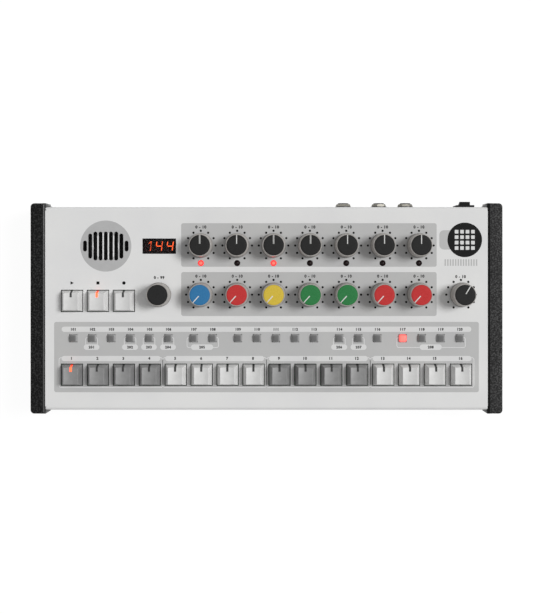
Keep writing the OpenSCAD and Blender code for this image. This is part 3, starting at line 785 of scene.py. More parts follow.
# Name, darker and lighter colour; then mottle, grain, depth, roughness and specular level.
GRAINED: tuple[tuple, ...] = (
    ("tray_powder_coat", "dcdcdc", "e2e2e1", 40, 0.35, 0.012, 0.55, 0.3),
    ("zone_ink", "b8b8b8", "bbbbba", 30, 0.35, 0.008, 0.5, 0.4),
    ("light_ink", "d8d8d8", "dcdcdb", 30, 0.3, 0.005, 0.5, 0.4),
    ("line_ink", "e0e0e0", "e6e6e6", 30, 0.3, 0.005, 0.5, 0.4),
    ("dark_ink", "0c0c0c", "141414", 6, 0.3, 0.004, 0.5, 0.1),
    ("disc_ink", "0e0e0e", "141414", 6, 0.3, 0.004, 0.5, 0.1),
    ("grille_ink", "b0b0b0", "b4b4b4", 6, 0.35, 0.008, 0.5, 0.4),
    # The smooth inner edges are one black: the left one's lighter, glossier tone is a painted
    # highlight, the right one's darker tone painted shade.
    ("cheek_edge_left", "1c1c1c", "242424", 2, 0.5, 0.01, 0.35, 0.35),
    ("cheek_edge_right", "080808", "0e0e0e", 2, 0.5, 0.01, 0.5, 0.12),
    # The gussets are black like the cheeks: their mid grey is painted light on their slanted faces.
    ("cheek_rib", "686868", "707070", 2, 0.5, 0.01, 0.4, 0.2),
    ("cap_black", "171717", "1f1f1f", *CAP_GRAIN),
    ("cap_blue", "2f71a2", "3678a9", *CAP_GRAIN),
    ("cap_red", "bd3030", "c43a3a", *CAP_GRAIN),
    ("cap_yellow", "d1b53c", "dabf4a", *CAP_GRAIN),
    ("cap_green", "28733e", "327d48", *CAP_GRAIN),
    ("pointer_white", "d6d6d4", "e0e0de", 2, 0.3, 0.005, 0.5, 0.4),
    ("pointer_grey", "a4a4a2", "acacaa", 2, 0.3, 0.005, 0.5, 0.4),
    ("key_grey", "7a7a7a", "828282", 5, 0.3, 0.008, 0.56, 1.0),
    ("key_light", "d3d3d2", "dadad9", 5, 0.3, 0.012, 0.5, 0.4),
    ("black_plastic", "161616", "1e1e1e", 2, 0.35, 0.02, 0.5, 0.3),
    ("rocker_black", "090909", "0f0f0f", 2, 0.3, 0.015, 0.5, 0.12),
    ("switch_black", "1a1a1a", "262626", 2, 0.3, 0.015, 0.35, 0.4),
    ("foot_rubber", "151515", "1d1d1d", 1.5, 0.4, 0.04, 0.8, 0.2),
    ("speaker_black", "0d0d0d", "161616", 1, 0.3, 0.05, 0.8, 0.2),
)


def paints() -> dict[str, Material]:
    """Builds every finish of the machine.

    Returns:
        The materials by name.
    """
    finishes = [Grained(name, shade(dark), shade(light), *values)
                for name, dark, light, *values in GRAINED]
    finishes += [
        CasePaint(), KnobPlastic(), Pane(), Board(),
        # The two cheeks wear one paint: the right one's lighter tones are painted light from the lamp
        # on the right.
        CheekCoat("cheek_coat_left", shade("000000"), shade("060606"), shade("2c2c2c"), 0.12),
        CheekCoat("cheek_coat_right", shade("060606"), shade("171717"), shade("3e3e3e"), 0.25),
        # The silicone keys are one grey: their lighter foot and edges are painted light showing
        # through the thin silicone.
        Glow("function_silicone", shade("b0b0b0"), shade("6c6c6c"), 51.2, 53, roughness=0.6),
        Glow("function_lit", (0.26, 0.05, 0.05), (1, 0.1, 0.085), 51, 53, 2.1),
        Glow("pipe_dark", shade("282828"), shade("424242"), 48, 57.5),
        Glow("pipe_lit", (0.2, 0.007, 0.005), (1, 0.085, 0.03), 50, 57.2, 2.8),
        Glow("digit_lit", (1, 0.09, 0.02), (1, 0.12, 0.03), 47, 47.3, 6),
        # The unlit bars glow faintly: painted light for the light they would catch behind the pane.
        Glow("digit_dark", (0.06, 0.004, 0.004), (0.07, 0.005, 0.005), 47, 47.3, 1),
        Lens("lens_lit", (1, 0.023, 0.017), (0.08, 0.0024, 0.0036), 11),
        Lens("lens_dark", shade("140c0c"), shade("241415")),
        Plated("nickel", shade("b8b4a8"), shade("cfcbc0")),
        Plated("nut_nickel", shade("84817a"), shade("9c9a92"), 0.55, black_y=90.9),
        Plated("zinc", shade("a8a8a8"), shade("c8c8c8"), 0.35)]
    return {finish.name: finish.make() for finish in finishes}


@dataclass(frozen=True)
class Layout:
    """Rows and columns of the control panel, in millimetres."""

    sheet: float = 1.6
    case_w: float = 390.2
    case_d: float = 179.1
    key_pitch: float = 22.86
    step_y: float = -58.4
    function_y: float = -26.2
    tone_y: float = 12.2
    level_y: float = 55.5
    window_y: float = 55.05
    transport_y: float = 6.7
    lamp_y: float = 40
    knob_first_x: float = -57.9
    knob_pitch: float = 32.05
    data_x: float = -94.7
    volume_x: float = 171.45
    volume_knob_x: float = 172.35
    volume_turn: float = -30.8
    low_stop: float = 138.4
    speaker_x: float = -141.7
    socket_z: float = 26
    function_pitch: float = 16.76
    group_gap: float = 22.3
    groups: tuple[int, ...] = (6, 2, 5, 3, 4)
    steps: int = 16
    columns: int = 7

    def key_x(self, index: float) -> float:
        """Gives the middle of a step key, counted from 0."""
        return (index - (self.steps - 1) / 2) * self.key_pitch

    def column_x(self, index: float) -> float:
        """Gives the middle of a knob column, counted from 0."""
        return self.knob_first_x + index * self.knob_pitch

    def group_xs(self) -> list[list[float]]:
        """Gives the middles of the function keys, group by group."""
        span = (sum(self.groups) - len(self.groups)) * self.function_pitch
        span += (len(self.groups) - 1) * self.group_gap
        x, rows = -span / 2, []
        for count in self.groups:
            rows.append([x + i * self.function_pitch for i in range(count)])
            x = rows[-1][-1] + self.group_gap
        return rows


class Rig:
    """Gives finished pieces their finishes and puts them on the bodies of the frame."""

    def __init__(self, frame: dict, finishes: dict[str, Material]) -> None:
        """Keeps the frame's nodes and the finishes."""
        self.nodes = frame["nodes"]
        self.finishes = finishes

    def dress(self, piece: Solid, *names: str) -> Solid:
        """Gives a piece its finishes, in the order of its slots."""
        piece.data.materials.clear()
        for name in names:
            piece.data.materials.append(self.finishes[name])
        return piece

    def mount(self, piece: Solid, name: str, node: str, slot: str, finish: str = "",
              instead: bool = False) -> None:
        """Names a piece and makes it ride with a node.

        Args:
            piece: The finished mesh object.
            name: Its name.
            node: The node whose body carries it.
            slot: The record's material slot, which is not used.
            finish: Its finish, where it is not dressed yet.
            instead: Whether it stands for the node.
        """
        if finish:
            self.dress(piece, finish)
        piece.name = name
        piece.data.name = name
        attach(piece, self.nodes[node]["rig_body"])
        if instead:
            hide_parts(node)
        LOG.info("%s: %d faces", name, len(piece.data.polygons))

    def paint(self, node: str, name: str) -> None:
        """Gives a node that stays its finish."""
        for slot in self.nodes[node].material_slots:
            slot.material = self.finishes[name]
        LOG.info("%s painted", node)


@dataclass
class Stage:
    """Camera, lamps, floor and sky."""

    eye: Point = (0.0031, 0.0339, 1.108)
    lens: float = 70.36
    sensor: float = 36
    shift: Pair = (-0.00573, -0.0602)
    key_from: Point = (0.60, 0.16, 0.78)
    key_spread: float = 22
    key_power: float = 2.22
    sky: float = 0.33
    paper: float = 0.8
    paper_seen: float = 0.08
    paper_glow: float = 0.95

    def camera(self) -> None:
        """Adds the camera, straight above the machine."""
        Bench.clear()
        bpy.ops.object.camera_add(location=self.eye, rotation=(0, 0, 0))
        camera = bpy.context.object
        camera.data.lens = self.lens
        camera.data.sensor_width = self.sensor
        camera.data.shift_x, camera.data.shift_y = self.shift
        bpy.context.scene.camera = camera

    def lamps(self) -> None:
        """Adds one soft, far lamp at the upper right and an even sky that looks white."""
        Bench.clear()
        way = Vector(self.key_from).normalized()
        bpy.ops.object.light_add(type="SUN", location=way * 2,
                                 rotation=way.to_track_quat("Z", "Y").to_euler())
        lamp = bpy.context.object.data
        lamp.angle = math.radians(self.key_spread)
        lamp.energy = self.key_power
        world = bpy.data.worlds.new("studio")
        bpy.context.scene.world = world
        world.use_nodes = True
        nodes = Nodes(world.node_tree)
        soft, white = (nodes.add("Background", {"Color": (1, 1, 1), "Strength": power})
                       for power in (self.sky, 1))
        mix = nodes.add("MixShader", {"Fac": nodes.seen(), 1: soft.outputs["Background"],
                                      2: white.outputs["Background"]})
        nodes.add("OutputWorld", {"Surface": mix.outputs["Shader"]})

    def floor(self) -> None:
        """Lays a pale floor that looks white and keeps the machine's shadow."""
        Bench.clear()
        bpy.ops.mesh.primitive_plane_add(size=8)
        floor = bpy.context.object
        floor.name = "floor"
        material = bpy.data.materials.new("floor_paper")
        material.use_nodes = True
        nodes = Nodes(material.node_tree)
        plain, seen = (nodes.add("BsdfDiffuse", {"Color": (tone,) * 3}).outputs["BSDF"]
                       for tone in (self.paper, self.paper_seen))
        glow = nodes.add("Emission", {"Strength": self.paper_glow}).outputs["Emission"]
        both = nodes.add("AddShader", {0: seen, 1: glow}).outputs["Shader"]
        mix = nodes.add("MixShader", {"Fac": nodes.seen(), 1: plain, 2: both})
        nodes.add("OutputMaterial", {"Surface": mix.outputs["Shader"]})
        floor.data.materials.append(material)


@dataclass
class Assembly:
    """A family of pieces, built by the layout and mounted by the rig."""

    layout: Layout
    rig: Rig

    def build(self) -> None:
        """Builds every piece and mounts it."""
        raise NotImplementedError


@dataclass
class Cheeks(Assembly):
    """The two end cheeks: coarse outside, with a smooth inner edge and a gusset at each end."""

    thick: float = 13.3
    over: float = 3.4
    foot: float = 4
    top: float = 50.5
    radius: float = 2
    corner: float = 3.4
    gusset: float = 4.8
    gusset_foot: float = 24
    gusset_top: float = 48
    gusset_tip: float = 0.5
    root: float = 2
    relief: float = 0.2
    slope: Pair = (0.58, 2.73)

    def build(self) -> None:
        """Builds both cheeks and mounts them."""
        half = self.layout.case_d / 2 + self.over
        for side, hand in ((-1, "left"), (1, "right")):
            inner, name = side * self.layout.case_w / 2, hand + "_cheek"
            xs = sorted((inner, inner + side * self.thick))
            piece = Bench.block((xs[0], -half, self.foot), (xs[1], half, self.top))
            self.round_edges(piece, inner)
            self.divide(piece)
            self.roughen(piece, inner)
            for end in (-1, 1):
                Bench.cut(piece, self.relief_corner(side, end, half))
            # Each cheek takes its own copy of the coat and of the smooth edge, their tones set apart
            # as painted light and shade for its side.
            self.rig.dress(Bench.polish(piece, 60), "cheek_coat_" + hand, "cheek_edge_" + hand)
            self.smooth_inside(piece, inner)
            # The gussets' grey is painted light.
            wedges = [self.rig.dress(self.wedge(side, end, half), "cheek_rib") for end in (-1, 1)]
            self.rig.mount(Bench.join([piece, *wedges]), name + "_moulding", name, "cheek_plastic",
                           instead=True)

    def round_edges(self, piece: Solid, inner: float) -> None:
        """Rounds every edge except the lower and upright ones of the inner face.

        Args:
            piece: The block.
            inner: Where the inner face is, in X.
        """
        def outside(vert: bmesh.types.BMVert) -> bool:
            """Says whether a vertex is off the inner face."""
            return abs(vert.co.x - inner * MM) > SNAP

        Bench.pick(piece, Part.EDGE,
                   lambda edge: self.runs(edge, 2, 5) and all(map(outside, edge.verts)))
        bpy.ops.mesh.bevel(offset=self.corner * MM, segments=6, affect="EDGES")
        Bench.pick(piece, Part.EDGE, lambda edge: not self.runs(edge, 2, 5)
                   and (any(map(outside, edge.verts))
                        or all(v.co.z > (self.top - 0.1) * MM for v in edge.verts)))
        bpy.ops.mesh.bevel(offset=self.radius * MM, segments=5, affect="EDGES")
        Bench.clear()

    @staticmethod
    def runs(edge: bmesh.types.BMEdge, axis: int, shortest: float) -> bool:
        """Says whether an edge runs along an axis and is longer than a length."""
        way = edge.verts[1].co - edge.verts[0].co
        return abs(way[axis]) > max(shortest * MM, 0.999 * way.length)

    def divide(self, piece: Solid) -> None:
        """Divides the long faces of a cheek into small cells, first along Y, then X and Z."""
        for axis, shortest, cuts in ((1, 100, 99), (1, 1.5, 2), (0, 5, 14), (2, 20, 30)):
            Bench.pick(piece, Part.EDGE,
                       lambda edge, way=axis, least=shortest: self.runs(edge, way, least))
            bpy.ops.mesh.subdivide(number_cuts=cuts)
        Bench.clear()

    def roughen(self, piece: Solid, inner: float) -> None:
        """Presses a coarse relief into all but the inner face and the rounding beside it.

        Args:
            piece: The divided cheek.
            inner: Where the inner face is, in X.
        """
        outer = piece.vertex_groups.new(name="outer")
        reach = (self.radius + 0.1) * MM
        far = [v.index for v in piece.data.vertices if abs(v.co.x - inner * MM) > reach]
        outer.add(far, 1, "REPLACE")
        clouds = bpy.data.textures.new("cheek_relief", "CLOUDS")
        clouds.noise_scale = 1.7 * MM
        clouds.noise_depth = 2
        Bench.apply(piece, "DISPLACE", texture=clouds, texture_coords="LOCAL", mid_level=0,
                    strength=-self.relief * MM, vertex_group=outer.name)

    def smooth_inside(self, piece: Solid, inner: float) -> None:
        """Gives the inner rounding the second of the cheek's finishes.

        Args:
            piece: The dressed cheek.
            inner: Where the inner face is, in X.
        """
        reach, low = (self.radius + 0.05) * MM, (self.top - self.radius - 0.05) * MM

        def near(face: bmesh.types.BMFace) -> bool:
            """Says whether a face belongs to the rounding."""
            middle = face.calc_center_median()
            return abs(middle.x - inner * MM) < reach and middle.z > low

        Bench.pick(piece, Part.FACE, near)
        piece.active_material_index = 1
        bpy.ops.object.material_slot_assign()
        Bench.clear()

    def relief_corner(self, side: int, end: int, half: float) -> Solid:
        """Makes the cutter that slopes the inner corner of a cheek's end below the gusset.

        Args:
            side: -1 at the left, 1 at the right.
            end: -1 at the front, 1 at the rear.
            half: Half the length of a cheek.

        Returns:
            The cutter.
        """
        inner, tip, (out, back) = side * self.layout.case_w / 2, end * half, self.slope
        outline = [(inner + side * 6, tip + end * out), (inner - side * self.root, tip - end * back),
                   (inner - side * self.root, tip + end * 2)]
        return Bench.bar([(x, y, self.foot - 1) for x, y in outline],
                         (0, 0, self.gusset_foot - self.foot))

    def wedge(self, side: int, end: int, half: float) -> Solid:
        """Shapes the gusset between a cheek and a wall of the case, narrower towards its foot.

        Args:
            side: -1 at the left, 1 at the right.
            end: -1 at the front, 1 at the rear.
            half: Half the length of a cheek.

        Returns:
            The gusset.
        """
        inner, wall, tip = side * self.layout.case_w / 2, end * self.layout.case_d / 2, end * half
        outline = [(inner - side * self.gusset, wall), (inner, tip), (inner + side * self.root, tip),
                   (inner + side * self.root, wall)]
        piece = Bench.bar([(x, y, self.gusset_top) for x, y in outline],
                          (0, 0, self.gusset_foot - self.gusset_top))
        Bench.pick(piece, Part.VERT, lambda vert: vert.co.z < (self.gusset_foot + 1) * MM
                   and (inner * MM - vert.co.x) * side > MM)
        bpy.ops.transform.translate(value=(side * (self.gusset - self.gusset_tip) * MM, 0, 0))
        Bench.clear()
        return Bench.polish(Bench.soften(piece, 0.7, 3, 25), 50)


@dataclass
class Knobs(Assembly):
    """Sixteen tapered knobs with fine flutes, coloured caps and inlaid pointers."""

    foot: float = 51
    top: float = 68.5
    radius: float = 10.75
    wall: float = 10.35
    rim: float = 9.65
    cap: float = 8.85
    flutes: int = 24
    flute_depth: float = 0.16
    tones: tuple[str, ...] = ("blue", "red", "yellow", "green", "green", "red", "red")
    bold: tuple[str, ...] = ("level_knob_1", "level_knob_3", "level_knob_4")

    def body(self) -> Solid:
        """Turns the body with its shaft and presses the flutes into its wall.

        Returns:
            The body, centred on the origin.
        """
        foot, top, rim, groove = self.foot, self.top, self.rim, self.cap + 0.14
        profile = [(0, 38), (2.6, 38), (3, 38.4), (3, 53.2), (4.6, 53.2), (4.6, 60), (8.2, 60),
                   (8.2, foot), (10.55, foot), (self.radius, foot + 0.2), (self.radius, foot + 1.4),
                   (10.6, foot + 1.65), (self.wall, foot + 1.9), (self.wall - 0.03, foot + 2.4),
                   (rim + 0.03, top - 1.3), (rim, top - 0.72), (rim - 0.06, top - 0.5),
                   (rim - 0.2, top - 0.36), (rim - 0.4, top - 0.3), (groove + 0.12, top - 0.32),
                   (groove + 0.02, top - 0.42), (groove, top - 0.8), (0, top - 0.8)]
        body = Bench.turned(profile, 144)
        low, high = (foot + 2.2) * MM, (top - 1.1) * MM
        pitch = 360 / self.flutes

        def fluted(vert: bmesh.types.BMVert) -> bool:
            """Says whether a vertex lies in the floor of a flute."""
            turn = math.degrees(math.atan2(vert.co.y, vert.co.x)) / pitch
            return (low < vert.co.z < high and abs(turn - round(turn)) < 0.05
                    and vert.co.xy.length > rim * MM)

        Bench.pick(body, Part.VERT, fluted)
        share = 1 - self.flute_depth / self.wall
        bpy.ops.transform.resize(value=(share, share, 1), center_override=(0, 0, 0))
        Bench.clear()
        return Bench.polish(body, 30)

    def cap_disc(self) -> Solid:
        """Turns the cap, with a soft edge and a hollow as shallow as a coin's."""
        top, cap = self.top, self.cap
        profile = [(0, top - 0.8), (cap, top - 0.8), (cap, top - 0.45), (cap - 0.1, top - 0.2),
                   (cap - 0.3, top - 0.05), (cap - 0.5, top), (6, top - 0.04), (0, top - 0.08)]
        return Bench.polish(Bench.turned(profile), 30)

    def slot(self, wide: float, floor: float, roof: float, end: float) -> Solid:
        """Makes a bar that points to twelve o'clock.

        Args:
            wide: Its width.
            floor: Height of its underside below the knob's top.
            roof: Height of its upper side below the knob's top.
            end: How far it reaches from the middle.

        Returns:
            The bar.
        """
        return Bench.block((-wide / 2, 1.1, self.top - floor), (wide / 2, end, self.top - roof))

    def marked(self, plain: Solid, wide: float, finish: str) -> tuple[Solid, Solid]:
        """Cuts a pointer's slot into a copy of the cap and shapes the pointer.

        Args:
            plain: The cap.
            wide: Width of the slot.
            finish: The pointer's finish.

        Returns:
            The cut cap and the pointer.
        """
        cap = Bench.cut(Bench.twin(plain), self.slot(wide, 0.9, -1, 12))
        pointer = Bench.soften(self.slot(wide - 0.06, 0.75, 0.1, self.cap - 0.05), 0.1)
        return Bench.polish(cap, 30), self.rig.dress(Bench.polish(pointer), finish)

    def build(self) -> None:
        """Builds every knob and mounts it."""
        lay, body, disc = self.layout, self.rig.dress(self.body(), "knob_body"), self.cap_disc()
        bold, fine = self.marked(disc, 1.5, "pointer_grey"), self.marked(disc, 0.95, "pointer_white")
        spots = [(f"{row}_knob_{i + 1}", lay.column_x(i), y, turn, tone)
                 for row, y, turn, tones in (("level", lay.level_y, 0, ("black",) * lay.columns),
                                             ("tone", lay.tone_y, lay.low_stop, self.tones))
                 for i, tone in enumerate(tones)]
        spots += [("volume_knob", lay.volume_knob_x, lay.tone_y, lay.volume_turn, "black"),
                  ("data_knob", lay.data_x, lay.tone_y, None, "black")]
        for node, x, y, turn, colour in spots:
            place = ((x, y, 0), (0, 0, turn or 0))
            pair = bold if node in self.bold else fine
            cap, *pointer = [disc] if turn is None else pair
            parts = [Bench.twin(body, *place),
                     self.rig.dress(Bench.twin(cap, *place), "cap_" + colour),
                     *(Bench.twin(bar, *place) for bar in pointer)]
            self.rig.mount(Bench.join(parts), node + "_turned", node, "knob_" + colour, instead=True)
        Bench.discard(body, disc, *bold, *fine)


@dataclass
class KeyCaps(Assembly):
    """Sixteen step keys and three transport keys, each with a light pipe."""

    foot: float = 47
    top: float = 58.4
    slope: float = 50.3
    wide: float = 18.2
    face_w: float = 12.9
    face_d: float = 14.5
    shift: float = -0.5
    dish: float = 0.9
    hollow: float = 7.4
    hollow_top: float = 50.5
    stem: float = 2.7
    stem_foot: float = 42.6
    pipe: float = 1.95
    lit: tuple[str, ...] = ("step_key_1", "stop_key")

    def shell(self) -> Solid:
        """Shapes one cap: a tapered block, dished, softened, grooved and hollowed.

        Returns:
            The cap, centred on the origin.
        """
        cap = Bench.tapered(self.wide, (self.foot, self.slope, self.top),
                            (self.face_w, self.face_d), self.shift)
        chord, room = self.face_w - 0.6, self.hollow
        radius = (chord * chord / 4 + self.dish ** 2) / (2 * self.dish)
        Bench.cut(cap, Bench.rod(radius, (0, -20, self.top - self.dish + radius), 40, "Y", 128))
        Bench.soften(Bench.soften(cap, 1.5, 1, 15), 0.4, 2, 15)
        groove = [(-self.pipe / 2, y, z) for y, z in self.groove()]
        Bench.cut(cap, Bench.bar(groove, (self.pipe, 0, 0)))
        Bench.cut(cap, Bench.block((-room, -room, self.foot - 1), (room, room, self.hollow_top)))
        stem = Bench.soften(Bench.rod(self.stem, (0, 0, self.stem_foot), 9), 0.3)
        return Bench.polish(Bench.join([cap, stem]), 30)

    def groove(self) -> list[Pair]:
        """Gives the outline of the light pipe's groove, seen from the side."""
        rear, face = self.wide / 2, self.face_d / 2 + self.shift
        floor = self.top - self.dish - 1
        return [(rear + 1, self.foot - 1), (rear + 1, self.top + 1), (face - 3.5, self.top + 1),
                (face - 3.5, floor), (face - 1, floor), (rear - 1, self.slope),
                (rear - 1, self.foot - 1)]

    def guide(self) -> Solid:
        """Shapes the light pipe that fills the groove.

        Returns:
            The pipe, centred on the origin.
        """
        half = self.pipe / 2 - 0.08
        rear, face = self.wide / 2, self.face_d / 2 + self.shift
        roof = self.top - self.dish + 0.03
        outline = [(rear - 0.1, self.foot + 0.1), (rear - 0.1, self.slope),
                   (face + 0.12, roof - 0.45), (face - 0.25, roof), (face - 3.4, roof),
                   (face - 3.4, roof - 1), (face - 1, roof - 1), (rear - 0.95, self.slope),
                   (rear - 0.95, self.foot + 0.1)]
        pipe = Bench.bar([(-half, y, z) for y, z in outline], (2 * half, 0, 0))
        return Bench.polish(Bench.soften(pipe, 0.16, 2, 30))

    def build(self) -> None:
        """Builds every key and mounts it."""
        cap, pipe, lay = self.shell(), self.guide(), self.layout
        spots = [(f"step_key_{i + 1}", i, lay.step_y, "key_light" if i // 4 % 2 else "key_grey")
                 for i in range(lay.steps)]
        spots += [(name, i, lay.transport_y, "key_light")
                  for i, name in enumerate(("play_key", "stop_key", "record_key"))]
        for node, i, y, finish in spots:
            spot = (lay.key_x(i), y, 0)
            light = "pipe_lit" if node in self.lit else "pipe_dark"
            self.rig.mount(Bench.twin(cap, spot), node + "_cap", node, finish, finish, instead=True)
            self.rig.mount(Bench.twin(pipe, spot), node + "_pipe", node, "lamp_red", light)
        Bench.discard(cap, pipe)


@dataclass
class FunctionKeys(Assembly):
    """Twenty small keys in five moulded strips."""

    foot: float = 47.4
    under: float = 48.4
    top: float = 53
    slope: float = 50.2
    wide: float = 6.9
    face: float = 5.4
    web: float = 5
    plunger: float = 2
    plunger_foot: float = 42
    lit_group: int = 4

    def cap(self) -> Solid:
        """Shapes one key: a tapered block with soft edges over a plunger.

        Returns:
            The key, centred on the origin.
        """
        key = Bench.tapered(self.wide, (self.under - 0.4, self.slope, self.top),
                            (self.face, self.face))
        Bench.soften(key, 1.3, 6)
        plunger = Bench.rod(self.plunger, (0, 0, self.plunger_foot), self.under - self.plunger_foot)
        return Bench.polish(Bench.join([key, Bench.soften(plunger, 0.3)]))

    def build(self) -> None:
        """Builds the five strips and mounts them."""
        key, y = self.rig.dress(self.cap(), "function_silicone"), self.layout.function_y
        for group, xs in enumerate(self.layout.group_xs()):
            web = Bench.block((xs[0] - self.web, y - self.web, self.foot),
                              (xs[-1] + self.web, y + self.web, self.under))
            keys = [Bench.twin(key, (x, y, 0)) for x in xs]
            if group == self.lit_group:
                self.rig.dress(keys[0], "function_lit")
            web = self.rig.dress(Bench.polish(Bench.soften(web, 0.2)), "function_silicone")
            node = f"function_keys_{group + 1}"
            self.rig.mount(Bench.join([web, *keys]), node + "_strip", node, "silicone", instead=True)
        Bench.discard(key)


@dataclass
class Lamps(Assembly):
    """Seven round lamps between the rows of knobs."""

    radius: float = 2.5
    flange: float = 2.9
    dome_z: float = 47.8
    dome_r: float = 2.6
    foot: float = 42.4
    lead: float = 0.25
    lead_x: float = 1.27
    lead_foot: float = 36
    lit: tuple[int, ...] = (0, 2)

    def lens(self) -> Solid:
        """Turns one lens and keeps each vertex's share of the radius in the mesh.

        Returns:
            The lens, centred on the origin.
        """
        arc = [(self.dome_r * math.cos(a), self.dome_z + self.dome_r * math.sin(a))
               for a in (math.radians(15 + 75 * i / 10) for i in range(10))]
        lens = Bench.turned([(0, self.foot), (self.flange, self.foot), (self.flange, self.foot + 1),
                             (self.radius, self.foot + 1), (self.radius, self.dome_z), *arc,
                             (0, self.dome_z + self.dome_r)], 48)
        share = lens.data.attributes.new("radius", "FLOAT", "POINT")
        for vert, value in zip(lens.data.vertices, share.data):
            value.value = min(1, math.hypot(vert.co.x, vert.co.y) / (self.radius * MM))
        return Bench.polish(lens, 40)

    def build(self) -> None:
        """Builds the lamps and mounts them."""
        lens, lead = self.lens(), self.lead
        leads = Bench.join([Bench.block((x - lead, -lead, self.lead_foot),
                                        (x + lead, lead, self.foot + 0.3))
                            for x in (-self.lead_x, self.lead_x)])
        self.rig.dress(Bench.soften(leads, 0.08), "zinc")
        for i in range(self.layout.columns):
            spot = (self.layout.column_x(i), self.layout.lamp_y, 0)
            finish = "lens_lit" if i in self.lit else "lens_dark"
            piece = self.rig.dress(Bench.twin(lens, spot), finish)
            self.rig.mount(Bench.join([piece, Bench.twin(leads, spot)]), f"lamp_{i + 1}",
                           "level_lamps", "lamp_red", instead=True)
        Bench.discard(lens, leads)


@dataclass
class Digits(Assembly):
    """Three seven-bar digits under the pane."""

    pitch: float = 9.7
    wide: float = 4.9
    high: float = 8.8
    slant: float = 7
    bar: float = 0.95
    gap: float = 0.16
    thick: float = 0.22
    offset: float = -0.3
    top: float = 47.28
    flag_inset: Pair = (0.3, 0.4)
    flag_reach: Pair = (2.1, 2.3)
    shown: str = "144"

    def bars(self) -> dict[str, list[tuple[Point, Point]]]:
        """Gives the ends of the bars that each digit lights, and of all seven."""
        w, h = self.wide / 2, self.high / 2
        left, right = [[(x, y) for y in (-h, 0, h)] for x in (-w, w)]
        right_pair, left_pair = list(zip(right, right[1:])), list(zip(left, left[1:]))
        level = list(zip(left, right))
        return {"1": right_pair, "4": [*right_pair, left_pair[1], level[1]],
                "8": [*right_pair, *left_pair, *level]}

    def segment(self, start: Point, end: Point, shift: float) -> Solid:
        """Shapes one slanted bar with pointed ends.

        Args:
            start: One end of its upright form.
            end: The other end.
            shift: Middle of its digit in X.

        Returns:
            The bar.
        """
        a, b = Vector((*start, 0)), Vector((*end, 0))
        way = (b - a).normalized()
        side = Vector((-way.y, way.x, 0)) * (self.bar / 2 - 0.06)
        a, b, tip = a + way * self.gap, b - way * self.gap, way * self.bar / 2
        lean = math.tan(math.radians(self.slant))
        mid = (self.layout.data_x + self.offset + shift, self.layout.window_y)
        outline = [(p.x + p.y * lean + mid[0], p.y + mid[1], self.top - self.thick)
                   for p in (a, a + tip + side, b - tip + side, b, b - tip - side, a + tip - side)]
        return Bench.bar(outline, (0, 0, self.thick))

    def build(self) -> None:
        """Builds the lit and the dark bars and mounts them; the faint glow of the dark bars is painted
        light.
        """
        table = self.bars()
        groups = {"lit": [], "dark": []}
        for place, figure in enumerate(self.shown):
            shift = (place - 1) * self.pitch
            for ends in table["8"]:
                state = "lit" if ends in table[figure] else "dark"
                groups[state].append(self.segment(*ends, shift))
            if figure == "1":
                x, y = self.wide / 2 - self.flag_inset[0], self.high / 2 - self.flag_inset[1]
                end = (x - self.flag_reach[0], y - self.flag_reach[1])
                groups["lit"].append(self.segment((x, y), end, shift))
        for state, group in groups.items():
            self.rig.mount(Bench.join(group), "digits_" + state, "display_module", "lamp_red",
                           "digit_" + state)


